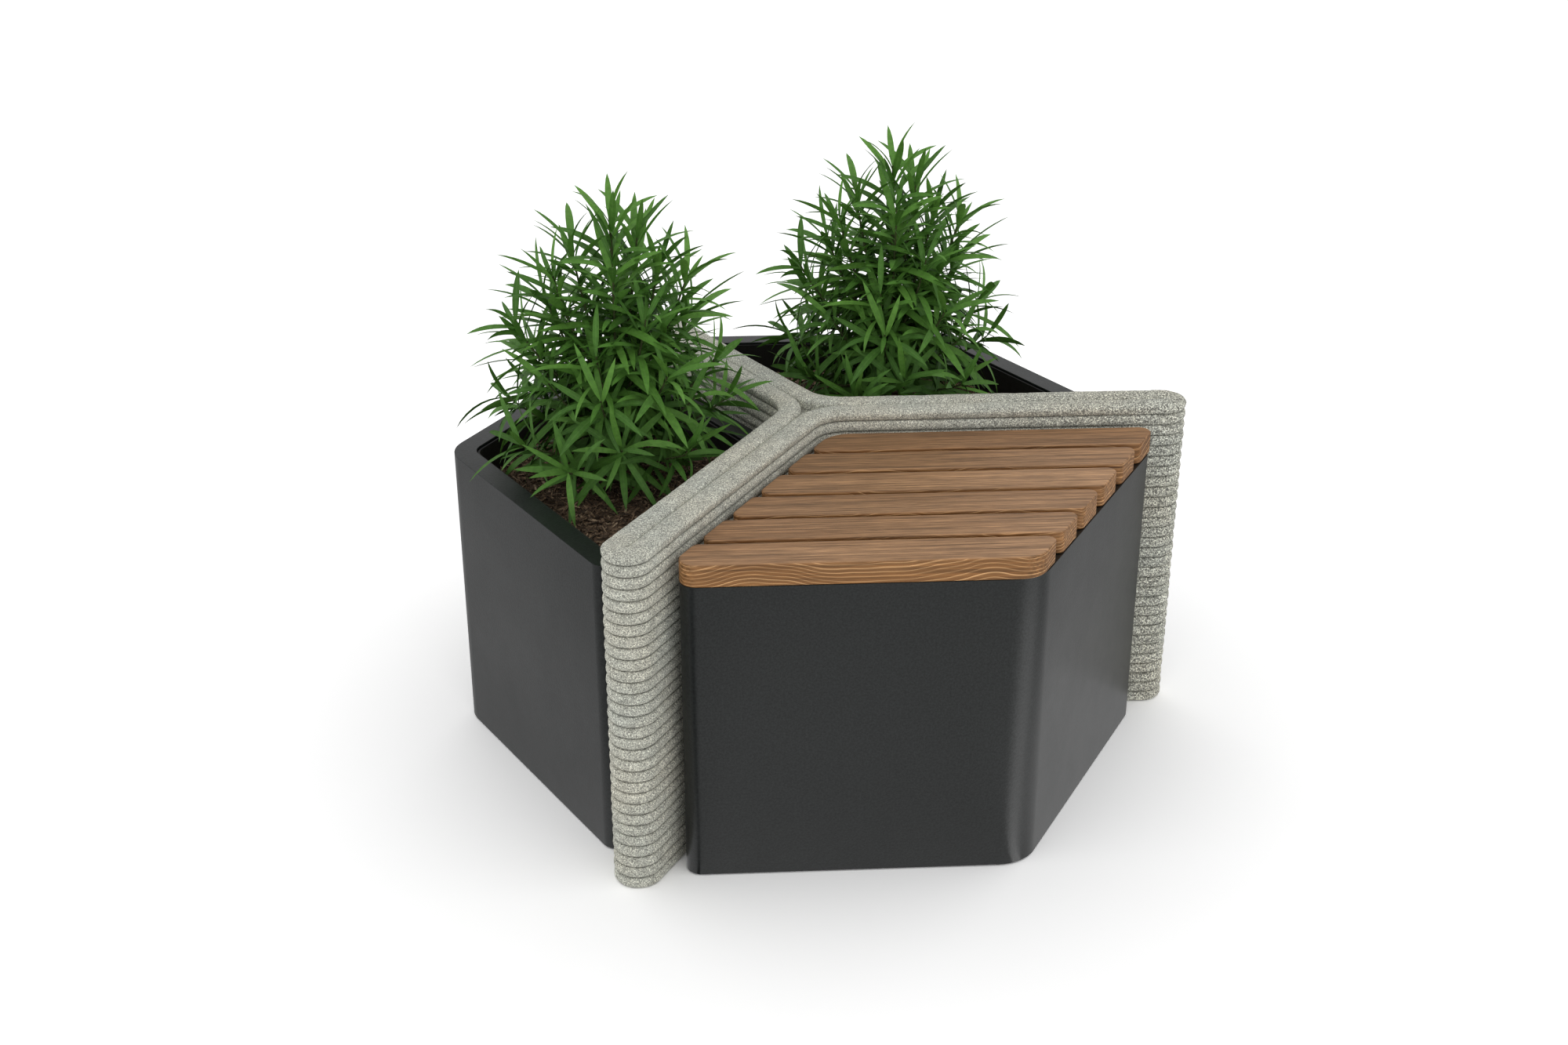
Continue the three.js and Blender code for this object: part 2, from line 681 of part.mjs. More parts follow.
// A tuft: a small knot, and leaves drawn out of the faces about its pole, where a leaf is clear
// of the planter and of what stands around the tuft
function makeTuft(knot, at, axis, around) {
  const turn = new THREE.Quaternion().setFromUnitVectors(knot.pole, axis);
  const triangles = [];
  let leaves = 0;
  for (const unitFace of knot.faces) {
    const { face, sides, tip } = drawLeaf(unitFace, turn, at);
    const isFull = leaves === LEAVES_PER_TUFT;
    const touches = () => {
      const leaf = fromTriangles([...sides, face[2], face[1], face[0]]);
      return !leaf.intersect(around).isEmpty();
    };
    if (isFull || !isClear(tip) || touches()) {
      triangles.push(...face);
    } else {
      triangles.push(...sides);
      leaves += 1;
    }
  }
  return fromTriangles(triangles);
}

// A straight twig between two points
function makeTwig(from, to, radius) {
  const run = to.clone().sub(from);
  const geometry = new THREE.CylinderGeometry(radius, radius, run.length(), TWIG_SIDES);
  geometry.translate(0, run.length() / 2, 0);
  const upright = new THREE.Vector3(0, 1, 0);
  geometry.applyQuaternion(new THREE.Quaternion().setFromUnitVectors(upright, run.normalize()));
  return placed(toSolid(geometry), from.x, from.y, from.z);
}

// The shrub: a woody crown in the ground, a leader, and a twig with its tuft for each place.
// The highest tuft is the leader's own.
function makeShrub(bayAngle) {
  const up = new THREE.Vector3(0, 0, 1);
  const stem = new THREE.Vector3(shrubPlace, 0, mulchTop);
  const crown = rod(CROWN_RADIUS, mulchTop - CROWN_DEPTH, mulchTop + CROWN_HEIGHT);
  const shoots = TUFT_SHARES.map(([right, away, rise], i) => {
    const offset = new THREE.Vector3(right * SHRUB_SPREAD, away * SHRUB_SPREAD, 0);
    offset.applyAxisAngle(up, -bayAngle);
    const at = stem.clone().add(offset).addScaledVector(up, rise * SHRUB_HEIGHT);
    const fork = stem.clone().addScaledVector(up, i === 0 ? 0 : rise * FORK_SHARE * SHRUB_HEIGHT);
    const axis = at.clone().sub(fork).normalize().add(up).normalize();
    const bud = new THREE.IcosahedronGeometry(KNOT_RADIUS, 0).translate(at.x, at.y, at.z);
    const twig = makeTwig(fork, at, i === 0 ? LEADER_RADIUS : TWIG_RADIUS);
    return { at, axis, twig, bud: toSolid(bud) };
  });
  const knot = unitKnot();
  const tufts = [];
  for (const shoot of shoots) {
    const others = shoots.filter((other) => other !== shoot);
    const stems = others.flatMap((other) => [other.twig, other.bud]);
    const around = join([placed(crown, stem.x, stem.y), ...stems, ...tufts]);
    tufts.push(makeTuft(knot, shoot.at, shoot.axis, around));
  }
  return join([placed(crown, stem.x, stem.y), ...shoots.map((shoot) => shoot.twig), ...tufts]);
}

function makePlanter(bay) {
  const group = new THREE.Group();
  const drainageBottom = linerFloor + LINER_THICKNESS + FIT_GAP;
  const substrateBottom = drainageBottom + DRAINAGE_DEPTH + FIT_GAP;
  const mulchBottom = mulchTop - MULCH_DEPTH;
  const crownHole = placed(
    rod(CROWN_RADIUS + FIT_GAP, mulchTop - CROWN_DEPTH - FIT_GAP, mulchTop + CUT_OVERRUN),
    shrubPlace,
    0,
  );
  group.add(piece(bay.name + "_shell", makeShell([]), paintedSteel));
  addFrameAndFeet(group, bay.name);
  group.add(piece(bay.name + "_liner", makeLiner(), linerPlastic));
  const drainage = moduleBlock(fillInset, drainageBottom, drainageBottom + DRAINAGE_DEPTH);
  group.add(piece(bay.name + "_drainage_layer", drainage, clayBalls));
  const substrate = moduleBlock(fillInset, substrateBottom, mulchBottom - FIT_GAP);
  group.add(piece(bay.name + "_substrate", cut(substrate, [crownHole]), soil));
  const mulch = moduleBlock(fillInset, mulchBottom, mulchTop);
  group.add(piece(bay.name + "_bark_mulch", cut(mulch, [crownHole]), bark));
  group.add(piece(bay.name + "_shrub", makeShrub(bay.angle), foliage));
  return group;
}

// The whole object
const ARMS = [
  { name: "right_arm", angle: 0, before: "bench", after: "rear_planter" },
  { name: "rear_arm", angle: BAY_ANGLE, before: "rear_planter", after: "left_planter" },
  { name: "front_arm", angle: 2 * BAY_ANGLE, before: "left_planter", after: "bench" },
];
const PLANTER_BAYS = [
  { name: "rear_planter", angle: HALF_BAY },
  { name: "left_planter", angle: HALF_BAY + BAY_ANGLE },
];
const BENCH_ANGLE = HALF_BAY + 2 * BAY_ANGLE;

const root = new THREE.Group();
root.name = "bench_with_planters";
root.add(piece("printed_wall", makeWall(), concrete));
for (const arm of ARMS) root.add(makeTie(arm));
const bench = makeBench();
bench.rotation.z = BENCH_ANGLE;
root.add(bench);
for (const bay of PLANTER_BAYS) {
  const planter = makePlanter(bay);
  planter.rotation.z = bay.angle;
  root.add(planter);
}

export default root;
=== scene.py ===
import math
import random

import bmesh
import bpy
import numpy as np
from mathutils import Matrix, Vector, noise


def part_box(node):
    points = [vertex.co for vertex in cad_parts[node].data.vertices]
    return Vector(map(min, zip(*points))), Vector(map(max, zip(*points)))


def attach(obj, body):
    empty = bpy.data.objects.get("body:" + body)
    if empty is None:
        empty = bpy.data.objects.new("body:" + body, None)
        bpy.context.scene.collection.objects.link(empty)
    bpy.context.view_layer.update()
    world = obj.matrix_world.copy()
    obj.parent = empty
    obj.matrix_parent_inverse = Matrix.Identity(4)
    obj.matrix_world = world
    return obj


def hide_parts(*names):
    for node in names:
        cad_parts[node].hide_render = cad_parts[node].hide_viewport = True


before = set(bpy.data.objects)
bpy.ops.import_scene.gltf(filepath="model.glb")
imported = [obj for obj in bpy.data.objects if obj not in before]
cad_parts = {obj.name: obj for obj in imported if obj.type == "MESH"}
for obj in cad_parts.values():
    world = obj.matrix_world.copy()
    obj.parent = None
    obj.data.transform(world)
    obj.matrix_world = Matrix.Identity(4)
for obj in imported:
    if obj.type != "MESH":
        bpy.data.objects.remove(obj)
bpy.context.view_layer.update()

# Sizes in metres, the same as those of the solids
WALL_HALF = 0.0327
ARM_LENGTH = 0.5324  # from the middle of the wall to the tip of an arm
HUB_FILLET_RADIUS = 0.05
COURSE_COUNT = 30
GROOVE_DEPTH = 0.004
SHELL_FACE = 0.0434  # from an arm's centreline to a shell's near face
MODULE_REACH = 0.4396  # from an arm's centreline to a shell's far face
OUTER_RADIUS = 0.059
SIDE_RADIUS = 0.021
HUB_RADIUS = 0.05
RIM_WIDTH = 0.031
SHELL_THICKNESS = 0.003
FILL_INSET = 0.0353  # from a shell's outside to the mulch
SLAT_COUNT = 6
SLAT_GAP = 0.008
SLAT_OVERHANG = 0.001  # past the shell's two outer faces
SHRUB_PLACE = 0.2699  # from the middle of the wall to a shrub's stem
SHRUB_HEIGHT = 0.444  # above the mulch
SHRUB_SPREAD = 0.15
CROWN_RADIUS = 0.013

# Small sizes in metres, which differ a little from those of the solids
LEAST_CORNER_RADIUS = 0.0025
FOLD_RADIUS = 0.0005
SHEET_EDGE_RADIUS = 0.0006
SHEET_FLAT = 0.0004  # a narrow flat beside a fold, which keeps the shading crisp
SLAT_CORNER_RADIUS = 0.0115
FRONT_SLAT_RADIUS = 0.038
BACK_SLAT_RADIUS = 0.015
SLAT_EDGE_RADIUS = 0.0024
SLAT_FLAT = 0.0006
SLAT_SETBACK = 0.0008

# Steps of each rounded corner in plan
SHELL_CORNER_STEPS = 16
SLAT_CORNER_STEPS = 12
BED_CORNER_STEPS = 6

# Seeds of the random draws
WALL_SEED = 11
LEAF_SEED = 5
TIMBER_SEED = 40
MULCH_SEED = 70

BAY = 2 * math.pi / 3
HALF_BAY = BAY / 2
BENCH_ANGLE = HALF_BAY + 2 * BAY
PLANTERS = {"rear_planter": HALF_BAY, "left_planter": HALF_BAY + BAY}
GOLDEN_ANGLE = math.pi * (3 - math.sqrt(5))
UP = np.array([0.0, 0.0, 1.0])

WALL_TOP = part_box("printed_wall")[1].z
SHELL_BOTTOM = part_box("bench_shell")[0].z
SHELL_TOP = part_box("bench_shell")[1].z
SLAT_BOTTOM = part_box("seat_slat_1")[0].z
SLAT_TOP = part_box("seat_slat_1")[1].z
MULCH_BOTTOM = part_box("left_planter_bark_mulch")[0].z
MULCH_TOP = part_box("left_planter_bark_mulch")[1].z
COURSE_HEIGHT = WALL_TOP / COURSE_COUNT


# Pieces
def add_piece(name, points, faces, material, stands_for, sharp=40):
    """A mesh that rides on the root body in the place of a CAD node."""
    mesh = bpy.data.meshes.new(name)
    mesh.from_pydata(np.asarray(points).tolist(), [], faces)
    mesh.materials.append(material)
    piece = bpy.data.objects.new(name, mesh)
    bpy.context.scene.collection.objects.link(piece)
    work = bmesh.new()
    work.from_mesh(mesh)
    bmesh.ops.remove_doubles(work, verts=work.verts, dist=1e-6)
    bmesh.ops.recalc_face_normals(work, faces=work.faces)
    work.to_mesh(mesh)
    work.free()
    mesh.shade_smooth()
    mesh.set_sharp_from_angle(angle=math.radians(sharp))
    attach(piece, "root")
    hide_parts(stands_for)
    return piece


def turned_plan(points, angle):
    """Points in plan, turned about the middle of the wall."""
    c, s = math.cos(angle), math.sin(angle)
    return np.asarray(points) @ np.array([[c, s], [-s, c]])


def at_height(plan, height):
    return np.column_stack([plan, np.full(len(plan), height)])


def ring_faces(first, second, count):
    """The quads between two closed rings of points, by the numbers of their first points."""
    return [
        (first + i, first + (i + 1) % count, second + (i + 1) % count, second + i)
        for i in range(count)
    ]


def loft(rings, closed=False, caps=True):
    """Points and faces of a body through rings of equally many points."""
    count = len(rings[0])
    last = (len(rings) - 1) * count
    faces = []
    for start in range(0, last, count):
        faces += ring_faces(start, start + count, count)
    if closed:
        faces += ring_faces(last, 0, count)
    elif caps:
        faces.append(tuple(reversed(range(count))))
        faces.append(tuple(range(last, last + count)))
    return np.concatenate(rings), faces


def waver(points, size, scale, shift):
    """Smooth noise at each point, up to the size either way."""
    moved = np.asarray(points) * scale + shift
    return size * np.array([noise.noise(p) for p in moved.tolist()])


# Outlines in plan
def bay_point(from_left, from_right):
    """A place in a bay whose middle line is +X, from its distances to the two arms."""
    return np.array(
        [
            (from_left + from_right) / (2 * math.sin(HALF_BAY)),
            (from_right - from_left) / (2 * math.cos(HALF_BAY)),
        ]
    )


def unit(vector):
    return vector / np.linalg.norm(vector)


def strip_outline(near, far, start, end, radii, steps):
    """The outline of a strip across a bay, as a function of its inset. The radii are those of
    the corners at the hub, right, outer and left."""

    def outline(inset):
        corners = [
            bay_point(near + inset, start + inset),
            bay_point(far - inset, start + inset),
            bay_point(far - inset, end - inset),
            bay_point(near + inset, end - inset),
        ]
        points = []
        for i, at in enumerate(corners):
            radius = max(radii[i] - inset, LEAST_CORNER_RADIUS)
            to_before = unit(corners[i - 1] - at)
            to_after = unit(corners[(i + 1) % 4] - at)
            half = math.acos(np.dot(to_before, to_after)) / 2
            centre = at + unit(to_before + to_after) * radius / math.sin(half)
            first = at + to_before * radius / math.tan(half) - centre
            start_angle = math.atan2(first[1], first[0])
            sweep = math.pi - 2 * half
            for j in range(steps + 1):
                angle = start_angle + sweep * j / steps
                points.append(centre + radius * np.array([math.cos(angle), math.sin(angle)]))
        return np.array(points)

    return outline


def module_outline(steps):
    radii = (HUB_RADIUS, SIDE_RADIUS, OUTER_RADIUS, SIDE_RADIUS)
    return strip_outline(SHELL_FACE, MODULE_REACH, SHELL_FACE, MODULE_REACH, radii, steps)


# Shader nodes
def add(tree, kind, inputs=None, **settings):
    """A shader node. Its inputs are given by name or number, as values or as sockets."""
    node = tree.nodes.new(kind)
    for key, value in settings.items():
        setattr(node, key, value)
    for key, value in (inputs or {}).items():
        if isinstance(value, bpy.types.NodeSocket):
            tree.links.new(value, node.inputs[key])
        else:
            node.inputs[key].default_value = value
    return node


def mix(tree, share, one, other, blend="MIX"):
    inputs = {0: share, 6: one, 7: other}
    return add(tree, "ShaderNodeMix", inputs, data_type="RGBA", blend_type=blend).outputs[2]


def tinted(tree, colour, *tones):
    """The colour multiplied by each tone."""
    for tone in tones:
        colour = mix(tree, 1.0, colour, tone, "MULTIPLY")
    return colour


def calc(tree, operation, *values):
    return add(tree, "ShaderNodeMath", dict(enumerate(values)), operation=operation).outputs[0]


def distance(tree, across, along):
    """The length of a line from its two parts."""
    squares = [calc(tree, "MULTIPLY", part, part) for part in (across, along)]
    return calc(tree, "SQRT", calc(tree, "ADD", *squares))


def spread(tree, value, low, high, to_low=0.0, to_high=1.0):
    """A value's range from low to high, stretched to another range."""
    inputs = {0: value, 1: low, 2: high, 3: to_low, 4: to_high}
    return add(tree, "ShaderNodeMapRange", inputs).outputs[0]


def grey(value):
    return (value, value, value)


def ramp(tree, value, *stops):
    """A colour for each value, from stops of a place and a colour."""
    node = add(tree, "ShaderNodeValToRGB", {0: value})
    elements = node.color_ramp.elements
    while len(elements) < len(stops):
        elements.new(1)
    for element, (place, colour) in zip(elements, stops):
        element.position = place
        element.color = (*colour, 1)
    return node.outputs[0]


def grey_ramp(tree, value, *stops):
    return ramp(tree, value, *((place, grey(level)) for place, level in stops))


def axes_of(tree, vector):
    return add(tree, "ShaderNodeSeparateXYZ", {0: vector}).outputs


def object_place(tree, scales=(1, 1, 1), offset=(0, 0, 0)):
    """The place on the object in metres, scaled for each axis and then moved."""
    place = add(tree, "ShaderNodeTexCoord").outputs["Object"]
    inputs = {"Vector": place, "Location": offset, "Scale": scales}
    return add(tree, "ShaderNodeMapping", inputs).outputs[0]


def upwardness(tree):
    """How far the surface faces up, 1 on a level top and 0 on a side."""
    return axes_of(tree, add(tree, "ShaderNodeNewGeometry").outputs["Normal"])[2]


def each_island(tree):
    """A random value for each loose part of a mesh."""
    return add(tree, "ShaderNodeNewGeometry").outputs["Random Per Island"]


def grain(tree, vector, scale=1, detail=2, roughness=0.5, output="Fac", distortion=0.0):
    inputs = {
        "Vector": vector,
        "Scale": scale,
        "Detail": detail,
        "Roughness": roughness,
        "Distortion": distortion,
    }
    return add(tree, "ShaderNodeTexNoise", inputs).outputs[output]


def bump(tree, height, depth, strength=1.0, normal=None):
    inputs = {"Height": height, "Distance": depth, "Strength": strength}
    if normal is not None:
        inputs["Normal"] = normal
    return add(tree, "ShaderNodeBump", inputs).outputs[0]


def new_material(name, **shader_inputs):
    material = bpy.data.materials.new(name)
    material.use_nodes = True
    tree = material.node_tree
    shader = tree.nodes["Principled BSDF"]
    for key, value in shader_inputs.items():
        shader.inputs[key.replace("_", " ")].default_value = value
    return material, tree, shader


def dress(tree, shader, **sockets):
    """Links sockets to the shader's inputs."""
    for key, socket in sockets.items():
        tree.links.new(socket, shader.inputs[key.replace("_", " ")])


# Materials
RIGHT_ARM = (0.1, 0.5)  # along X, where the wall's look turns into that of its right arm


def concrete_material():
    material, tree, shader = new_material("concrete", IOR=1.45, Roughness=0.95)
    place = object_place(tree)
    patches = grain(tree, place, 9, 3, 0.6)
    blotches = grain(tree, place, 70, 3, 0.6)
    curls = grain(tree, place, 340, 4, 0.66, distortion=2.4)
    grit = grain(tree, place, 600, 3, 0.62)
    speckle = grain(tree, place, 450, 2, 0.5)
    colour = ramp(tree, patches, (0.35, (0.596, 0.582, 0.493)), (0.65, (0.550, 0.561, 0.495)))
    blotch_tone = grey_ramp(tree, blotches, (0.3, 0.88), (0.7, 1.10))
    curl_tone = grey_ramp(tree, curls, (0.32, 0.42), (0.43, 0.78), (0.53, 1.0), (0.64, 1.60))
    grit_tone = grey_ramp(tree, grit, (0.36, 0.44), (0.5, 1.0), (0.64, 1.60))

    # Dust and painted shade in the grooves between the courses
    axes = axes_of(tree, place)
    below_top = calc(tree, "MINIMUM", axes[2], WALL_TOP - COURSE_HEIGHT / 2)
    course = calc(tree, "FRACT", calc(tree, "DIVIDE", below_top, COURSE_HEIGHT))
    off_middle = calc(tree, "ABSOLUTE", calc(tree, "SUBTRACT", course, 0.5))
    from_seam = calc(tree, "SUBTRACT", 0.5, off_middle)
    groove_dust_and_shade = grey_ramp(tree, from_seam, (0.0, 0.48), (0.04, 0.72), (0.09, 1.0))

    # The right arm gets coarser speckles of painted shading on its grit, as grazing light would
    # give, fainter dust and painted shade in its grooves, and painted shade that makes it a
    # little darker
    painted_grit_shade = grey_ramp(tree, speckle, (0.40, 0.30), (0.5, 0.95), (0.60, 1.8))
    painted_grit_shade_power = spread(tree, axes[0], *RIGHT_ARM, 0.0, 0.74)
    painted_grit_shade = calc(tree, "POWER", painted_grit_shade, painted_grit_shade_power)
    groove_dust_and_shade_power = spread(tree, axes[0], *RIGHT_ARM, 1.0, 0.7)
    groove_dust_and_shade = calc(tree, "POWER", groove_dust_and_shade, groove_dust_and_shade_power)
    right_arm_shade = spread(tree, axes[0], *RIGHT_ARM, 1.0, 0.96)
    # Painted shade: the level tops are a little darker
    top_shade = spread(tree, upwardness(tree), 0.4, 0.9, 1.0, 0.94)
    colour = tinted(tree, colour, blotch_tone, curl_tone, grit_tone, groove_dust_and_shade)
    colour = tinted(tree, colour, painted_grit_shade, right_arm_shade, top_shade)

    drag = grain(tree, object_place(tree, (25, 25, 420)), 1, 3, 0.6)
    rough = bump(tree, drag, 0.0005)
    rough = bump(tree, curls, 0.0013, 1.0, rough)
    rough = bump(tree, grit, 0.0009, 0.8, rough)
    dress(tree, shader, Base_Color=colour, Normal=rough)
    return material


def paint_material():
    material, tree, shader = new_material("satin_paint", IOR=1.5)
    place = object_place(tree)
    fine = grain(tree, place, 350, 3, 0.6)
    wide = grain(tree, place, 5, 3, 0.6)
    colour = ramp(tree, wide, (0.3, (0.0052, 0.0072, 0.0070)), (0.7, (0.0060, 0.0080, 0.0078)))
    colour = tinted(tree, colour, grey_ramp(tree, fine, (0.35, 0.6), (0.65, 1.5)))
    roughness = spread(tree, grain(tree, place, 9, 3, 0.7), 0.3, 0.7, 0.34, 0.38)
    gloss = spread(tree, fine, 0.3, 0.7, 0.46, 0.54)
    dress(tree, shader, Base_Color=colour, Roughness=roughness, Specular_IOR_Level=gloss)
    dress(tree, shader, Normal=bump(tree, fine, 0.0003, 0.6))
    return material


def ring_lines(tree, sways, place, pith, spacing, power, sway_size):
    """Light lines of growth rings round a pith that runs along the board."""
    axes = axes_of(tree, place)
    from_pith = []
    for n in (0, 1):
        swayed = calc(tree, "SUBTRACT", sways[n], 0.5 + pith[n] / sway_size)
        from_pith.append(calc(tree, "MULTIPLY_ADD", swayed, sway_size, axes[n + 1]))
    ring = calc(tree, "DIVIDE", distance(tree, *from_pith), spacing)
    number = {"W": calc(tree, "FLOOR", ring)}
    each = add(tree, "ShaderNodeTexWhiteNoise", number, noise_dimensions="1D").outputs["Value"]
    stops = ((0.0, 0.0), (0.55, 0.04), (0.77, 0.25), (0.86, 1.0), (0.93, 1.0), (1.0, 0.0))
    line = grey_ramp(tree, calc(tree, "FRACT", ring), *stops)
    return calc(tree, "MULTIPLY", line, calc(tree, "POWER", each, power))


def wood_material(name, rng, middle):
    """Sawn boards, with bold wavy lines on the sides and fine straight ones on top."""
    material, tree, shader = new_material(name, IOR=1.42)
    offset = (rng.uniform(-3, 3), -middle, -SLAT_BOTTOM)
    shift = (rng.uniform(-9, 9), rng.uniform(-9, 9), rng.uniform(-9, 9))

    def stretched_grain(scales, detail, roughness, output="Fac"):
        return grain(tree, object_place(tree, scales, shift), 1, detail, roughness, output)

    place = object_place(tree, (1, 1, 1), offset)
    sway = stretched_grain((7.0, 8, 8), 2, 0.4, "Color")
    sways = add(tree, "ShaderNodeSeparateColor", {0: sway}).outputs
    is_top = spread(tree, upwardness(tree), 0.3, 0.9)

    # The lines: bold ones with slight ones between them on the sides, fine ones on top
    def lines(pith, spacings, power, sway_size=0.06):
        spacing = rng.uniform(*spacings)
        return ring_lines(tree, sways, place, pith, spacing, power, sway_size)

    below = (rng.uniform(-0.02, 0.02), -rng.uniform(0.09, 0.13))
    beside = (rng.choice((-1, 1)) * rng.uniform(0.09, 0.14), -0.03)
    bold = lines(below, (0.0046, 0.0056), power=0.6)
    slight = lines(below, (0.0017, 0.0021), power=1.5)
    fine = lines(beside, (0.0022, 0.0027), power=1.3, sway_size=0.036)
    bold = calc(tree, "MULTIPLY", bold, 0.95)
    slight = calc(tree, "MULTIPLY", slight, 0.45)
    on_side = calc(tree, "MAXIMUM", bold, slight)
    on_top = calc(tree, "MULTIPLY", fine, 0.26)
    lightness = spread(tree, is_top, 0, 1, on_side, on_top)

    # A painted sheen makes the tops paler and greyer, and painted shade takes some of it back
    # towards the hub; part of the paling away from the hub is weathering
    axes = axes_of(tree, object_place(tree))
    outward = spread(tree, distance(tree, axes[0], axes[1]), 0.12, 0.45)
    top_sheen_and_hub_shade = mix(tree, outward, (1.08, 1.31, 2.0, 1), (1.56, 1.97, 3.35, 1))
    top_sheen_and_hub_shade = mix(tree, is_top, (1, 1, 1, 1), top_sheen_and_hub_shade)

    broad = stretched_grain((2.2, 16, 16), 2, 0.5)
    dashes = stretched_grain((30, 420, 420), 3, 0.6)
    fibre = stretched_grain((5, 260, 260), 4, 0.7)
    pores = stretched_grain((45, 1500, 1500), 2, 0.6)
    colour = ramp(tree, broad, (0.3, (0.165, 0.068, 0.0182)), (0.7, (0.261, 0.117, 0.0350)))
    colour = tinted(tree, colour, top_sheen_and_hub_shade)
    dash_tone = grey_ramp(tree, dashes, (0.35, 0.80), (0.5, 1.0), (0.65, 1.25))
    colour = mix(tree, spread(tree, is_top, 0, 1, 0.3, 1.0), colour, dash_tone, "MULTIPLY")
    colour = mix(tree, lightness, colour, (0.82, 0.48, 0.22, 1))
    fibre_tone = grey_ramp(tree, fibre, (0.30, 0.44), (0.5, 0.98), (0.70, 1.50))
    colour = tinted(tree, colour, fibre_tone)
    pore_tone = grey_ramp(tree, pores, (0.30, 0.62), (0.40, 1.0))
    colour = mix(tree, 0.8, colour, pore_tone, "MULTIPLY")
    roughness = spread(tree, fibre, 0.2, 0.8, 0.62, 0.5)
    normal = bump(tree, fibre, 0.0006, 0.5)
    normal = bump(tree, lightness, 0.0004, 0.6, normal)
    dress(tree, shader, Base_Color=colour, Roughness=roughness, Normal=normal)
    return material


def bark_material():
    material, tree, shader = new_material("bark", IOR=1.4, Roughness=0.85)
    colour = ramp(
        tree,
        each_island(tree),
        (0.0, (0.042, 0.029, 0.018)),
        (0.5, (0.122, 0.081, 0.051)),
        (0.84, (0.260, 0.174, 0.106)),
        (1.0, (0.44, 0.33, 0.22)),
    )
    fleck = grain(tree, object_place(tree), 260, 4, 0.7)
    colour = tinted(tree, colour, grey_ramp(tree, fleck, (0.3, 0.35), (0.5, 1.0), (0.72, 1.9)))
    dress(tree, shader, Base_Color=colour, Normal=bump(tree, fleck, 0.003, 0.8))
    return material


def leaf_material():
    """The blade attribute holds the place across a leaf, from -1 to 1, and the place along it."""
    material, tree, shader = new_material("foliage", IOR=1.33, Roughness=0.6)
    colour = ramp(
        tree,
        each_island(tree),
        (0.0, (0.050, 0.140, 0.019)),
        (0.5, (0.076, 0.200, 0.028)),
        (1.0, (0.118, 0.280, 0.044)),
    )
    blade_place = add(tree, "ShaderNodeAttribute", attribute_name="blade").outputs["Vector"]
    from_rib = calc(tree, "ABSOLUTE", axes_of(tree, blade_place)[0])
    rib = spread(tree, from_rib, 0.05, 0.2, 1, 0)
    colour = mix(tree, calc(tree, "MULTIPLY", rib, 0.35), colour, (0.12, 0.24, 0.06, 1))
    place = object_place(tree)
    mottle = grain(tree, place, 160, 3, 0.6)
    mottle_tone = grey_ramp(tree, mottle, (0.3, 0.82), (0.7, 1.18))
    # Painted shade: the lower leaves, under the crown, are darker
    lower_leaf_shade = grey_ramp(tree, axes_of(tree, place)[2], (0.40, 0.74), (0.60, 1.06))
    colour = tinted(tree, colour, mottle_tone, lower_leaf_shade)
    dress(tree, shader, Base_Color=colour, Normal=bump(tree, mottle, 0.0005, 0.4))
    return material


def stem_material():
    material, tree, shader = new_material("stem_bark", IOR=1.4, Roughness=0.8)
    streaks = grain(tree, object_place(tree, (300, 300, 60)), 1, 3, 0.7)
    colour = ramp(tree, streaks, (0.3, (0.040, 0.050, 0.016)), (0.7, (0.085, 0.110, 0.035)))
    dress(tree, shader, Base_Color=colour, Normal=bump(tree, streaks, 0.001, 0.8))
    return material


def plain_material(name, dark, light, scale, roughness, metallic=0.0, depth=0.0005):
    """A fine-grained finish for what lies inside and under the modules."""
    material, tree, shader = new_material(name, Roughness=roughness, Metallic=metallic)
    fleck = grain(tree, object_place(tree), scale, 3, 0.6)
    colour = ramp(tree, fleck, (0.3, dark), (0.7, light))
    dress(tree, shader, Base_Color=colour, Normal=bump(tree, fleck, depth, 0.6))
    return material


concrete = concrete_material()
paint = paint_material()
bark = bark_material()
leaf = leaf_material()
stem = stem_material()
zinc = ((0.38, 0.39, 0.40), (0.52, 0.53, 0.54))
steel = plain_material("zinc_plated_steel", *zinc, 500, 0.35, metallic=1.0)
rubber = plain_material("foot_rubber", grey(0.012), grey(0.022), 700, 0.75)
tub_plastic = plain_material("tub_plastic", grey(0.006), grey(0.011), 350, 0.55)
clay = plain_material("clay_balls", (0.16, 0.07, 0.035), (0.32, 0.15, 0.08), 90, 0.9, depth=0.004)
soil = plain_material("soil", (0.012, 0.008, 0.005), (0.045, 0.03, 0.02), 160, 0.95, depth=0.004)


# The CAD pieces that stay: fittings, and what fills the planters under the mulch
def finish_of(name):
    """The material of a CAD node that is shown as it is, or None where a mesh replaces it."""
    if name.startswith(("tie_", "spacer_", "slat_screw_")):
        return steel
    if "_foot_" in name:
        return rubber
    endings = {
        "_base_frame": paint,
        "_liner": tub_plastic,
        "_drainage_layer": clay,
        "_substrate": soil,
    }
    return next((finish for ending, finish in endings.items() if name.endswith(ending)), None)


for node_name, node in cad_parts.items():
    node_finish = finish_of(node_name)
    if node_finish is not None:
        node.data.materials.clear()
        node.data.materials.append(node_finish)

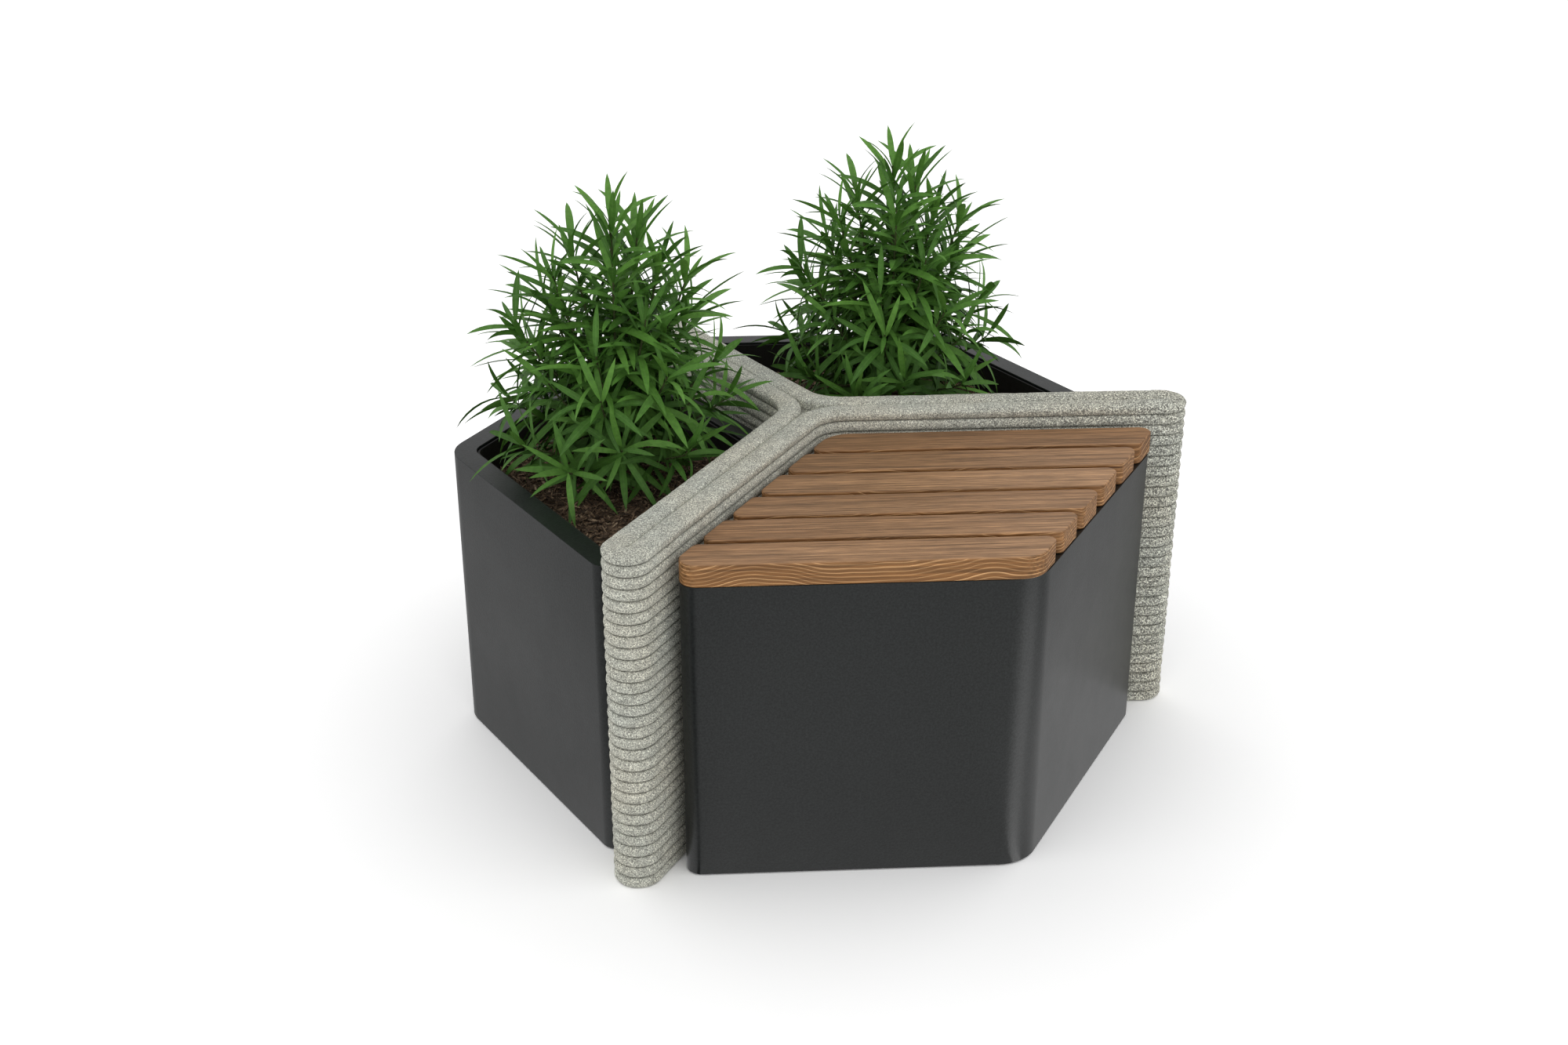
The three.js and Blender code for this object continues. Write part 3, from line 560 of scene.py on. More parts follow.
# The printed wall
PLAN_PITCH = 0.0045
COURSE_SHARES = (0.0, 0.02, 0.07, 0.16, 0.3, 0.5, 0.7, 0.84, 0.93, 0.98)
COURSE_POWER = 2.05  # of the curve of a course's side: 2 would be round, and more is fuller
COURSE_SWELL = 0.0003  # how far a course may stand out or in
GROOVE_STRETCH = 1.4  # the grooves go deeper than on the solid
TOP_SHARES = (0.004, 0.03, 0.08, 0.16, 0.28, 0.42, 0.58, 0.72, 0.84, 0.92, 0.965, 0.99, 1.0)
TOP_POWER = 2.3
HUB_DISH = 0.85  # the depth of the hub's recess, in courses
HUB_DISH_STEPS = ((0.97, 0.6), (0.90, 0.93), (0.6, 1.0), (0.3, 1.0))
BEAD_WAVES = (  # size, scale and shift of each
    (0.0005, (14, 14, 30), (3, 5, 7)),
    (0.0003, (60, 60, 110), (9, 2, 4)),
    (0.0004, (190, 190, 260), (1, 8, 6)),
)
BEAD_SHRINK = 0.0003


def wall_plan():
    """The wall's outline as places and inward directions, so that a place moves in by any
    inset, and whether each place is in one of the three fillets at the hub."""
    fillet_along = (WALL_HALF + HUB_FILLET_RADIUS) / math.tan(HALF_BAY)
    fillet_centre = np.array([fillet_along, WALL_HALF + HUB_FILLET_RADIUS])
    cap_along = ARM_LENGTH - WALL_HALF
    side_steps = round((cap_along - fillet_along) / PLAN_PITCH)
    cap_steps = round(math.pi * WALL_HALF / PLAN_PITCH)
    fillet_steps = round(HALF_BAY * HUB_FILLET_RADIUS / PLAN_PITCH)
    places, inward = [], []
    for k in range(side_steps):
        along = fillet_along + (cap_along - fillet_along) * k / side_steps
        places.append((along, -WALL_HALF))
        inward.append((0, 1))
    for k in range(cap_steps):
        angle = math.pi * (k / cap_steps - 1 / 2)
        way = np.array([math.cos(angle), math.sin(angle)])
        places.append((cap_along + WALL_HALF * way[0], WALL_HALF * way[1]))
        inward.append(-way)
    for k in range(side_steps):
        along = cap_along - (cap_along - fillet_along) * k / side_steps
        places.append((along, WALL_HALF))
        inward.append((0, -1))
    for k in range(fillet_steps):
        angle = -math.pi / 2 - HALF_BAY * k / fillet_steps
        way = np.array([math.cos(angle), math.sin(angle)])
        places.append(fillet_centre + HUB_FILLET_RADIUS * way)
        inward.append(way)
    in_fillet = [False] * (len(places) - fillet_steps) + [True] * fillet_steps
    places, inward = np.array(places), np.array(inward)
    turns = [i * BAY for i in range(3)]
    return (
        np.concatenate([turned_plan(places, turn) for turn in turns]),
        np.concatenate([turned_plan(inward, turn) for turn in turns]),
        np.array(in_fillet * 3),
    )


def crest(share, power):
    """The height of a rounded crest, 1 in its middle, where the share is 0, and 0 at its end."""
    return (1 - share**power) ** (1 / power)


def dished_patch(rim, numbers, dish, total):
    """Points and faces that close the hub inside a rim of numbered points. The numbers of the
    new points start at total."""
    count = len(rim)
    points, faces = [], []
    for share, depth_share in HUB_DISH_STEPS:
        points.append(rim * (share, share, 1) + (0, 0, dish * depth_share))
        inner = range(total, total + count)
        for i in range(count):
            j = (i + 1) % count
            faces.append((numbers[i], numbers[j], inner[j], inner[i]))
        numbers = inner
        total += count
    points.append(np.array([[0, 0, rim[0, 2] + dish]]))
    faces += [(numbers[i], numbers[(i + 1) % count], total) for i in range(count)]
    return np.concatenate(points), faces


def make_wall():
    plan, inward, in_fillet = wall_plan()
    count = len(plan)
    rng = random.Random(WALL_SEED)
    rings, leans, tapers = [], [], []

    def ring(inset, height, lean, taper):
        """The lean turns the way of the waves from outward to up, and the taper fades them."""
        rings.append(at_height(plan + inset * inward, height))
        leans.append(lean)
        tapers.append(taper)

    ring(WALL_HALF, 0.0, 0.0, 0.0)
    for course in range(COURSE_COUNT):
        bottom = course * COURSE_HEIGHT
        swell = rng.uniform(-COURSE_SWELL, COURSE_SWELL)
        is_top = course == COURSE_COUNT - 1
        for share in COURSE_SHARES:
            if is_top and share > 0.5:
                continue
            bulge = crest(abs(2 * share - 1), COURSE_POWER)
            inset = GROOVE_DEPTH * GROOVE_STRETCH * (1 - bulge) + swell * bulge
            ring(inset, bottom + share * COURSE_HEIGHT, 0.0, 0.25 + 0.75 * bulge)
    half = WALL_HALF / 2
    drop = COURSE_HEIGHT / 2
    for share in TOP_SHARES:
        inset = share * WALL_HALF
        off_crest = abs(inset - half) / half
        depth = drop * (1 - crest(off_crest, TOP_POWER))
        lean = min(1.0, inset / (0.3 * WALL_HALF))
        taper = 1.0 if inset < half else 1 - off_crest**3
        ring(inset, WALL_TOP - depth, lean, taper)

    places, faces = loft(rings, caps=False)
    lean = np.repeat(leans, count)[:, None]
    taper = np.repeat(tapers, count)
    out = np.column_stack([-np.tile(inward, (len(rings), 1)), np.zeros(len(places))])
    ways = out * np.cos(lean * math.pi / 2) + UP * np.sin(lean * math.pi / 2)
    push = sum(waver(places, *wave) for wave in BEAD_WAVES) - BEAD_SHRINK
    places += ways * (push * taper)[:, None]

    # The hub's recess, and the same patch of the underside
    edge = []
    for number in np.flatnonzero(in_fillet):
        edge.append(number)
        if not in_fillet[(number + 1) % count]:
            edge.append((number + 1) % count)
    points = places
    for start, dish in ((0, 0.0), (len(places) - count, -HUB_DISH * COURSE_HEIGHT)):
        border = [start + number for number in edge]
        patch, patch_faces = dished_patch(places[border], border, dish, len(points))
        points = np.concatenate([points, patch])
        faces += patch_faces
    add_piece("wall_courses", points, faces, concrete, "printed_wall", sharp=75)


# The shells
def fold(centre_inset, centre_height, radius, start, end, steps=4):
    """The profile points of a rounded fold, as insets and heights."""
    angles = [math.radians(start + (end - start) * i / steps) for i in range(steps + 1)]
    return [
        (centre_inset + radius * math.cos(angle), centre_height + radius * math.sin(angle))
        for angle in angles
    ]


def make_shell(bay_name, angle):
    outline = module_outline(SHELL_CORNER_STEPS)
    edge = SHEET_EDGE_RADIUS
    under_rim = SHELL_TOP - SHELL_THICKNESS
    profile = [(0, SHELL_BOTTOM + edge), (0, SHELL_TOP - FOLD_RADIUS - SHEET_FLAT)]
    profile += fold(FOLD_RADIUS, SHELL_TOP - FOLD_RADIUS, FOLD_RADIUS, 180, 90)
    profile += [(FOLD_RADIUS + SHEET_FLAT, SHELL_TOP), (RIM_WIDTH - edge - SHEET_FLAT, SHELL_TOP)]
    profile += fold(RIM_WIDTH - edge, SHELL_TOP - edge, edge, 90, 0, steps=2)
    profile += [(RIM_WIDTH, under_rim), (SHELL_THICKNESS, under_rim)]
    profile += [(SHELL_THICKNESS, SHELL_BOTTOM), (edge, SHELL_BOTTOM)]
    rings = [at_height(turned_plan(outline(inset), angle), height) for inset, height in profile]
    points, faces = loft(rings, closed=True)
    name, stands_for = bay_name + "_skin", bay_name + "_shell"
    add_piece(name, points, faces, paint, stands_for, sharp=50)


# The seat's slats
def make_slats():
    depth = MODULE_REACH + SLAT_OVERHANG - SHELL_FACE
    width = (depth - (SLAT_COUNT - 1) * SLAT_GAP) / SLAT_COUNT
    edge = SLAT_EDGE_RADIUS
    profile = [(edge + SLAT_FLAT, SLAT_BOTTOM)]
    profile += fold(edge, SLAT_BOTTOM + edge, edge, 270, 180)
    profile += [(0, SLAT_BOTTOM + edge + SLAT_FLAT), (0, SLAT_TOP - edge - SLAT_FLAT)]
    profile += fold(edge, SLAT_TOP - edge, edge, 180, 90)
    profile += [(edge + SLAT_FLAT, SLAT_TOP)]
    for i in range(SLAT_COUNT):
        far = MODULE_REACH + SLAT_OVERHANG - i * (width + SLAT_GAP)
        is_front = i == 0
        is_back = i == SLAT_COUNT - 1
        radii = (
            HUB_RADIUS if is_back else SLAT_CORNER_RADIUS,
            SIDE_RADIUS if is_front else SLAT_CORNER_RADIUS,
            FRONT_SLAT_RADIUS if is_front else SLAT_CORNER_RADIUS,
            BACK_SLAT_RADIUS if is_back else SLAT_CORNER_RADIUS,
        )
        end = MODULE_REACH - SLAT_SETBACK
        outline = strip_outline(far - width, far, SHELL_FACE, end, radii, SLAT_CORNER_STEPS)
        rings = [at_height(turned_plan(outline(inset), BENCH_ANGLE), z) for inset, z in profile]
        points, faces = loft(rings)
        number = str(i + 1)
        rng = random.Random(TIMBER_SEED + i)
        timber = wood_material("hardwood_" + number, rng, width / 2 - far)
        add_piece("slat_board_" + number, points, faces, timber, "seat_slat_" + number)


# The planters' mulch: an uneven bed and loose chips of bark
BED_DROP = 0.004  # from the top of the mulch to the middle height of the bed
BED_PITCH = 0.006
BED_RINGS = 40
BROAD_WAVE = (0.004, (22, 22, 0), (2, 4, 6))
FINE_WAVE = (0.0022, (90, 90, 0), (5, 1, 3))
CHIP_COUNT = 5400
CHIP_SETBACK = 0.006  # from the edge of the mulch
CHIP_SINK = 0.003  # from the top of the mulch to a chip's middle
CHIP_LIFTS = (-0.002, 0.003)
CHIP_LEAST_LENGTH = 0.006
CHIP_MORE_LENGTH = 0.016  # what the longest chips have more
CHIP_WIDTH_SHARES = (0.10, 0.30)  # of the length
CHIP_GREATEST_WIDTH = 0.0040
CHIP_HEIGHTS = (0.0012, 0.003)
CHIP_TILT = 0.28
CORNER_SHARES = (0.6, 1.1)  # how far out a chip's corner stands, as a share of its size


def chip(rng, at, size):
    """The corners of an uneven chip, and its faces."""
    turn = Matrix.Rotation(rng.uniform(0, 2 * math.pi), 3, "Z")
    turn @= Matrix.Rotation(rng.gauss(0, CHIP_TILT), 3, "Y")
    turn @= Matrix.Rotation(rng.gauss(0, CHIP_TILT), 3, "X")
    corners = []
    for side_z in (-1, 1):
        for side_x, side_y in ((-1, -1), (1, -1), (1, 1), (-1, 1)):
            sides = (side_x, side_y, side_z)
            corner = [
                side * part / 2 * rng.uniform(*CORNER_SHARES) for side, part in zip(sides, size)
            ]
            corners.append(Vector(at) + turn @ Vector(corner))
    faces = [(3, 2, 1, 0), (4, 5, 6, 7), *ring_faces(0, 4, 4)]
    return corners, faces


def mulch_bed(angle):
    """Points and faces of the bed, in rings from its foot up and in to the middle."""
    near = SHELL_FACE + FILL_INSET
    middle_along = (near + MODULE_REACH - FILL_INSET) / 2 / math.sin(HALF_BAY)
    middle = turned_plan([[middle_along, 0]], angle)[0]
    corners = turned_plan(module_outline(BED_CORNER_STEPS)(FILL_INSET), angle)
    edge = []
    for corner, following in zip(corners, np.roll(corners, -1, axis=0)):
        run = following - corner
        parts = max(1, round(np.linalg.norm(run) / BED_PITCH))
        edge += [corner + run * j / parts for j in range(parts)]
    edge = np.array(edge)
    rings = [at_height(edge, MULCH_BOTTOM)]
    for i in range(BED_RINGS):
        share = 1 - i / BED_RINGS
        rings.append(at_height(middle + (edge - middle) * share, MULCH_TOP - BED_DROP))
    points, faces = loft(rings)
    bumps = waver(points, *BROAD_WAVE) + waver(points, *FINE_WAVE)
    is_bed = points[:, 2] > MULCH_BOTTOM
    points[:, 2] += np.where(is_bed, bumps, 0)
    return points, faces


def make_mulch(bay_name, angle, rng):
    points, faces = mulch_bed(angle)
    all_points = [points]
    total = len(points)
    last = total + 8 * CHIP_COUNT
    low = SHELL_FACE + FILL_INSET + CHIP_SETBACK
    high = MODULE_REACH - FILL_INSET - CHIP_SETBACK
    while total < last:
        local = bay_point(rng.uniform(low, high), rng.uniform(low, high))
        if math.dist(local, (SHRUB_PLACE, 0)) < CROWN_RADIUS:
            continue
        x, y = turned_plan([local], angle)[0]
        rise = waver([(x, y, 0)], *BROAD_WAVE)[0]
        length = CHIP_LEAST_LENGTH + CHIP_MORE_LENGTH * rng.random() ** 1.6
        width = min(length * rng.uniform(*CHIP_WIDTH_SHARES), CHIP_GREATEST_WIDTH)
        at = (x, y, MULCH_TOP - CHIP_SINK + rise + rng.uniform(*CHIP_LIFTS))
        corners, chip_faces = chip(rng, at, (length, width, rng.uniform(*CHIP_HEIGHTS)))
        all_points.append(np.array(corners))
        faces += [tuple(total + n for n in face) for face in chip_faces]
        total += len(corners)
    points = np.concatenate(all_points)
    name, stands_for = bay_name + "_bark", bay_name + "_bark_mulch"
    add_piece(name, points, faces, bark, stands_for, sharp=35)


# The shrubs

# Each shoot's tip, in shares of the shrub's spread and height: right, away and up, as seen from
# the front of the seat. The first shoot is the leader.
SHOOT_SHARES = [
    (0, 0, 0.85),
    (0.24, 0.1, 0.79),
    (-0.36, 0.04, 0.77),
    (0.02, -0.24, 0.73),
    (0.42, 0.1, 0.68),
    (0.68, 0.05, 0.66),
    (-0.52, -0.1, 0.68),
    (0.1, 0.45, 0.6),
    (-0.62, 0.1, 0.60),
    (0.3, -0.38, 0.57),
    (0.72, 0.3, 0.52),
    (-0.90, 0, 0.52),
    (-0.78, 0.2, 0.40),
    (-0.15, -0.5, 0.47),
    (0.5, 0.45, 0.46),
    (-0.4, 0.65, 0.4),
    (0.48, -0.5, 0.4),
    (0.93, 0.1, 0.38),
    (-0.6, -0.3, 0.36),
    (-0.12, -0.68, 0.35),
    (0.5, 0.8, 0.32),
    (0.72, -0.35, 0.31),
    (0.1, 0.5, 0.3),
    (-1.0, 0.12, 0.26),
    (1.0, 0.1, 0.24),
    (0.06, -0.9, 0.22),
    (-0.8, 0.6, 0.22),
    (0.1, 0.95, 0.2),
    (-0.87, -0.53, 0.19),
    (-0.42, -0.98, 0.16),
    (0.64, -0.75, 0.18),
    (-0.65, 0.35, 0.34),
    (0.3, 0.2, 0.5),
    (-0.2, 0.3, 0.55),
]
CROWN_TOP_RADIUS = 0.0055
LEADER_RADII = (0.0045, 0.0018)  # at the foot and at the tip
TWIG_RADII = (0.0026, 0.0012)
FORK_SHARE = 0.42  # where a twig leaves the leader, as a share of its tip's height
LEADER_LEAVES = 50
LEADER_LEAFY = 0.26  # the length of a shoot that bears leaves
TWIG_LEAFY = 0.17
LOW_SHARE = 0.6  # below this share of the height the leaves are fewer and droop more
LEAF_PITCH = 0.0042
LEAF_LENGTH = 0.098
LEAF_WIDTHS = np.array([0.16, 0.60, 0.90, 1.0, 0.98, 0.84, 0.54, 0.0])  # from base to tip
LEAF_STATIONS = len(LEAF_WIDTHS)
LEAF_HALF_THICKNESS = 0.0005
LEAF_FOLD = 0.22  # how far a leaf's edges stand above its middle, as a share of half its width
LEAF_CLEARANCE = 0.006
RIM_MARGIN = 0.008
WALL_MARGIN = 0.004
OUTER_MARGIN = 0.01
RAISE_TRIES = 9
RAISE_ANGLE = 0.22
LEAF_FINISH, STEM_FINISH = 0, 1  # the places of the two materials on a shrub


def bezier(points, t):
    a, b, c = points
    return a * (1 - t) ** 2 + b * 2 * t * (1 - t) + c * t**2


def bezier_way(points, t):
    a, b, c = points
    return unit((b - a) * (1 - t) + (c - b) * t)


def shoots():
    """Each shoot as the three points of its curve, from the foot of the stem."""
    made = []
    for i, (right, away, rise) in enumerate(SHOOT_SHARES):
        side = np.array([right * SHRUB_SPREAD, away * SHRUB_SPREAD, 0])
        height = rise * SHRUB_HEIGHT
        tip = side + UP * height
        if i == 0:
            made.append((np.zeros(3), UP * height * 0.5 + (0.004, -0.003, 0), tip))
            continue
        fork = UP * height * FORK_SHARE
        bend = fork + side * 0.62 + UP * (height - fork[2]) * 0.28
        made.append((fork, bend, tip))
    return made


def leaf_plans(rng):
    """Each leaf of the shrub: base, way, upper side, length, width and droop."""
    plans = []
    for i, curve in enumerate(shoots()):
        lowness = max(0.0, 1 - SHOOT_SHARES[i][2] / LOW_SHARE)
        reach = np.linalg.norm(curve[2] - curve[0])
        leafy = LEADER_LEAFY if i == 0 else min(TWIG_LEAFY, reach * 0.85)
        pitch = LEAF_PITCH + 0.0034 * lowness
        number = LEADER_LEAVES if i == 0 else round(leafy / pitch + 4 * rng.random())
        turn = rng.uniform(0, 2 * math.pi)
        for k in range(number):
            share = k / (number - 1)
            t = 1 - leafy / reach * (1 - share**0.8)
            base = bezier(curve, t)
            axis = bezier_way(curve, t)
            side = unit(np.cross(axis, UP + (0.013, 0.007, 0)))
            over = np.cross(side, axis)
            angle = turn + k * GOLDEN_ANGLE
            radial = side * math.cos(angle) + over * math.sin(angle)
            open_angle = math.radians(74 - 46 * share**1.3 + 12 * lowness + rng.uniform(-13, 13))
            way = axis * math.cos(open_angle) + radial * math.sin(open_angle)
            upper = axis * math.sin(open_angle) - radial * math.cos(open_angle)
            roll = rng.uniform(-0.7, 0.7)
            upper = upper * math.cos(roll) + np.cross(way, upper) * math.sin(roll)
            length = (LEAF_LENGTH - 0.016 * share**2) * rng.uniform(0.78, 1.14)
            width = length * rng.uniform(0.098, 0.126) * (1 - 0.14 * lowness)
            droop = rng.uniform(0.3, 1.2) * (0.8 + 0.8 * lowness)
            plans.append((base, way, upper, length, width, droop))
    return plans


def leaf_line(plan):
    """The middle line of a leaf, with its ways and upper sides."""
    place, way, upper, length, _, droop = plan
    places, ways, uppers = [], [], []
    step = length / (LEAF_STATIONS - 1)
    for _ in range(LEAF_STATIONS):
        places.append(place)
        ways.append(way)
        uppers.append(upper)
        flatness = math.hypot(way[0], way[1])
        bend = -UP * 0.55 * flatness - upper * 0.45
        way = unit(way + bend * droop * 1.15 / LEAF_STATIONS)
        upper = unit(upper - way * np.dot(upper, way))
        place = place + way * step
    return np.array(places), np.array(ways), np.array(uppers)


def is_clear(places, angle):
    """Whether the points, in the object's frame, are clear of the wall, the rim and the mulch."""
    plan = turned_plan(places[:, :2], -angle)
    x_part = plan[:, 0] * math.sin(HALF_BAY)
    y_part = plan[:, 1] * math.cos(HALF_BAY)
    from_left, from_right = x_part - y_part, x_part + y_part
    nearest = np.minimum(from_left, from_right) - SHELL_FACE
    furthest = MODULE_REACH - np.maximum(from_left, from_right)
    least = np.minimum(nearest, furthest)
    over_mulch, over_rim = MULCH_TOP + LEAF_CLEARANCE, SHELL_TOP + LEAF_CLEARANCE
    ground = np.where(least > RIM_WIDTH + RIM_MARGIN, over_mulch, over_rim)
    ground = np.where(nearest < WALL_MARGIN, WALL_TOP + LEAF_CLEARANCE, ground)
    is_outside = (furthest < -OUTER_MARGIN) & (nearest > WALL_MARGIN)
    ground = np.where(is_outside, 0.0, ground)
    return bool(np.all(places[:, 2] > ground))


def raised(plan, angle):
    """The plan of a leaf that stands a little steeper."""
    base, way, upper, length, width, droop = plan
    way = unit(way + UP * angle)
    upper = unit(upper - way * np.dot(upper, way))
    return base, way, upper, length, width, droop * 0.8


def blade(width, places, ways, uppers):
    """A leaf's closed blade: a shallow V with a thin middle, drawn to points at its ends. Each
    mark holds the place across the blade, the place along it, and 1 below its middle."""
    sides = np.cross(ways, uppers)
    half = (LEAF_WIDTHS * width / 2)[:, None]
    lift = uppers * half * LEAF_FOLD
    left = places - sides * half + lift
    right = places + sides * half + lift
    thinning = 1 - np.linspace(0, 1, LEAF_STATIONS) * 0.6
    thick = uppers * (LEAF_HALF_THICKNESS * thinning)[:, None]
    points, marks, faces = [], [], []
    last = LEAF_STATIONS - 1
    for i in range(last):
        points += [left[i], places[i] + thick[i], right[i], places[i] - thick[i]]
        along = i / last
        marks += [(-1, along, 0), (0, along, 0), (1, along, 0), (0, along, 1)]
    for i in range(last - 1):
        for j in range(4):
            k = (j + 1) % 4
            faces.append((4 * i + j, 4 * i + k, 4 * i + 4 + k, 4 * i + 4 + j))
    tip = 4 * last
    points.append(places[last])
    marks.append((0, 1, 0))
    start = tip - 4
    faces += [(start + j, start + (j + 1) % 4, tip) for j in range(4)]
    faces.append((3, 2, 1, 0))
    return points, faces, marks


def tube(curve, radius, end_radius, sides, steps):
    """A closed tapering stem along a curve."""
    rings = []
    for i in range(steps + 1):
        t = i / steps
        at, axis = bezier(curve, t), bezier_way(curve, t)
        side = unit(np.cross(axis, (0.83, 0.31, 0.19)))
        over = np.cross(axis, side)
        size = radius + (end_radius - radius) * t
        angles = [2 * math.pi * j / sides for j in range(sides)]
        rings.append([at + (side * math.cos(a) + over * math.sin(a)) * size for a in angles])
    return loft(rings)


def make_shrub(bay_name, angle):
    foot = np.array([*turned_plan([[SHRUB_PLACE, 0]], angle)[0], MULCH_TOP])
    points, faces, marks, finishes = [], [], [], []

    def take(new_points, new_faces, new_marks, finish):
        start = len(points)
        points.extend(point + foot for point in new_points)
        faces.extend(tuple(start + n for n in face) for face in new_faces)
        marks.extend(new_marks)
        finishes.extend([finish] * len(new_faces))

    def take_stem(curve, radius, end_radius, sides, steps):
        stem_points, stem_faces = tube(curve, radius, end_radius, sides, steps)
        take(stem_points, stem_faces, [(0, 0, 0)] * len(stem_points), STEM_FINISH)

    crown = (UP * -0.03, UP * 0.0, UP * 0.03)
    take_stem(crown, CROWN_RADIUS, CROWN_TOP_RADIUS, sides=12, steps=6)
    for i, curve in enumerate(shoots()):
        take_stem(curve, *(LEADER_RADII if i == 0 else TWIG_RADII), sides=7, steps=14)
    for plan in leaf_plans(random.Random(LEAF_SEED)):
        for _ in range(RAISE_TRIES):
            places, ways, uppers = leaf_line(plan)
            width = plan[4]
            tested = np.concatenate([places + foot, places + foot - UP * (width / 2)])
            if is_clear(tested[1:], angle):
                take(*blade(width, places, ways, uppers), LEAF_FINISH)
                break
            plan = raised(plan, RAISE_ANGLE)

    name, stands_for = bay_name + "_foliage", bay_name + "_shrub"
    mesh = add_piece(name, points, faces, leaf, stands_for, sharp=60).data
    mesh.materials.append(stem)
    attribute = mesh.attributes.new("blade", "FLOAT_VECTOR", "POINT")
    attribute.data.foreach_set("vector", np.array(marks, float).ravel())
    for polygon, finish in zip(mesh.polygons, finishes):
        polygon.material_index = finish


make_wall()
for module_name, module_angle in {"bench": BENCH_ANGLE, **PLANTERS}.items():
    make_shell(module_name, module_angle)
make_slats()
for module_number, (module_name, module_angle) in enumerate(PLANTERS.items()):
    make_mulch(module_name, module_angle, random.Random(MULCH_SEED + module_number))
    make_shrub(module_name, module_angle)

# The floor

# Each sector of the glow, which paints a reflection: its point, its middle and half width in
# degrees, and its change
PAINTED_REFLECTION_SECTORS = [((0.2326, -0.4275), -31, 21, 1.05), ((-0.168, -0.432), -129, 12, -0.6)]


def floor_material():
    """Pale for the eye and in reflections, and a little darker for the light that it gives back.
    Its glow, seen only in reflections, is a painted reflection that sets how bright the shells
    look: it changes across the floor, and its brighter and darker sectors, which show only in the
    rounded edges of the bench's front, paint a highlight band and a dark streak there."""
    material = bpy.data.materials.new("floor")
    material.use_nodes = True
    tree = material.node_tree
    tree.nodes.clear()
    path = add(tree, "ShaderNodeLightPath").outputs
    mottle = grain(tree, object_place(tree), 3, 2, 0.5)
    pale = grey_ramp(tree, mottle, (0.3, 1.215), (0.7, 1.225))
    colour = mix(tree, path["Is Camera Ray"], (0.86, 0.86, 0.86, 1), pale)
    matt = add(tree, "ShaderNodeBsdfDiffuse", {"Color": colour}).outputs[0]

    # Painted reflection: the glow changes from left to right, and from near to far
    place = axes_of(tree, object_place(tree))
    across = spread(tree, place[0], -1.0, 1.0)
    stops = ((0.0, 0.58), (0.22, 0.53), (0.3, 0.52), (0.43, 0.83), (0.6, 0.76), (0.78, 0.70))
    painted_reflection_strength = grey_ramp(tree, across, *stops, (0.88, 0.60))
    away = spread(tree, place[1], -1.2, -0.4)
    stops = ((0.0, 1.03), (0.55, 1.0), (0.80, 0.92), (0.92, 0.78), (1.0, 0.92))
    painted_reflection_strength = calc(tree, "MULTIPLY", painted_reflection_strength, grey_ramp(tree, away, *stops))

    for corner, middle, half, change in PAINTED_REFLECTION_SECTORS:
        parts = [calc(tree, "SUBTRACT", place[n], corner[n]) for n in (0, 1)]
        bearing = calc(tree, "ARCTAN2", parts[1], parts[0])
        off_middle = calc(tree, "SUBTRACT", bearing, math.radians(middle))
        off_middle = calc(tree, "ABSOLUTE", off_middle)
        edge = (math.radians(half - 2), math.radians(half + 3))
        inside = spread(tree, off_middle, *edge, 1.0, 0.0)
        near = spread(tree, distance(tree, *parts), 0.9, 1.15, change, 0.0)
        brighter = calc(tree, "ADD", painted_reflection_strength, calc(tree, "MULTIPLY", inside, near))
        painted_reflection_strength = calc(tree, "MAXIMUM", brighter, 0.02)
    glow = add(tree, "ShaderNodeEmission", {"Color": (1, 1, 1, 1), "Strength": painted_reflection_strength}).outputs[0]
    mirrored = calc(tree, "MAXIMUM", path["Is Glossy Ray"], path["Is Transmission Ray"])
    surface = add(tree, "ShaderNodeMixShader", {0: mirrored, 1: matt, 2: glow}).outputs[0]
    add(tree, "ShaderNodeOutputMaterial", {"Surface": surface})
    return material


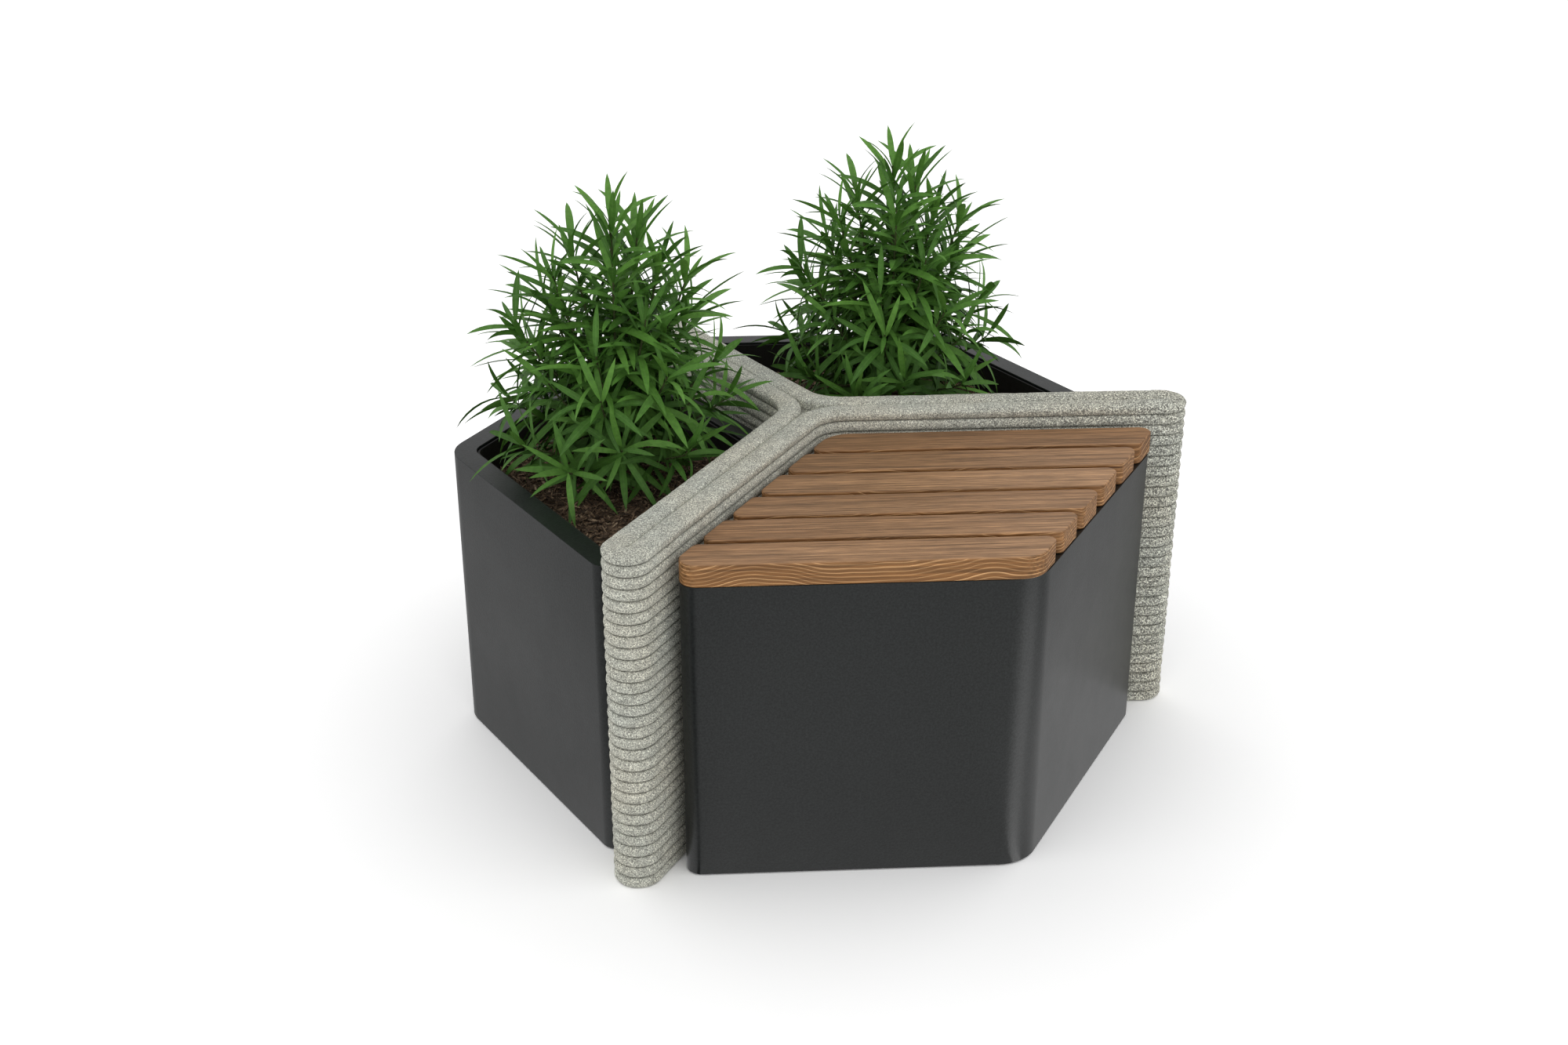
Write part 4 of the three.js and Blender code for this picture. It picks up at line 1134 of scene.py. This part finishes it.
bpy.ops.mesh.primitive_plane_add(size=60, location=(0, 0, 0))
floor = bpy.context.object
floor.name = "studio_floor"
floor.data.materials.append(floor_material())


# The world
def make_world():
    """Light from low down and from above, with a dimmer band between for reflections."""
    world = bpy.data.worlds.new("studio")
    bpy.context.scene.world = world
    world.use_nodes = True
    tree = world.node_tree
    tree.nodes.clear()
    height = axes_of(tree, add(tree, "ShaderNodeTexCoord").outputs["Generated"])[2]
    stops = ((0.0, 0.9), (0.2, 0.9), (0.40, 0.50), (0.7, 0.45), (0.9, 0.8))
    bands = grey_ramp(tree, height, *stops)
    soft = grey_ramp(tree, height, (0.0, 1.3), (0.5, 1.04), (1.0, 0.82))
    path = add(tree, "ShaderNodeLightPath").outputs
    white = mix(tree, path["Is Camera Ray"], soft, (1, 1, 1, 1))
    sky = mix(tree, path["Is Glossy Ray"], white, bands)
    background = add(tree, "ShaderNodeBackground", {"Color": sky, "Strength": 1.0}).outputs[0]
    add(tree, "ShaderNodeOutputWorld", {"Surface": background})


# The camera
CAMERA_PLACE = (-0.185, -2.610, 1.5405)
CAMERA_TURNS = (-3.2504, -25.4456, -0.0134)  # yaw, pitch and roll in degrees


def make_camera():
    yaw, pitch, roll = (math.radians(angle) for angle in CAMERA_TURNS)
    right = Vector((math.cos(yaw), math.sin(yaw), 0))
    forward = Vector(
        (-math.sin(yaw) * math.cos(pitch), math.cos(yaw) * math.cos(pitch), math.sin(pitch))
    )
    upward = right.cross(forward)
    turned_right = right * math.cos(roll) + upward * math.sin(roll)
    turned_up = upward * math.cos(roll) - right * math.sin(roll)
    data = bpy.data.cameras.new("camera")
    data.sensor_width = 36
    data.sensor_fit = "HORIZONTAL"
    data.lens = 46.25
    data.clip_end = 200
    camera = bpy.data.objects.new("camera", data)
    axes = Matrix((turned_right, turned_up, -forward)).transposed().to_4x4()
    camera.matrix_world = Matrix.Translation(CAMERA_PLACE) @ axes
    bpy.context.scene.collection.objects.link(camera)
    bpy.context.scene.camera = camera


make_world()
make_camera()
bpy.context.scene.view_settings.view_transform = "Standard"
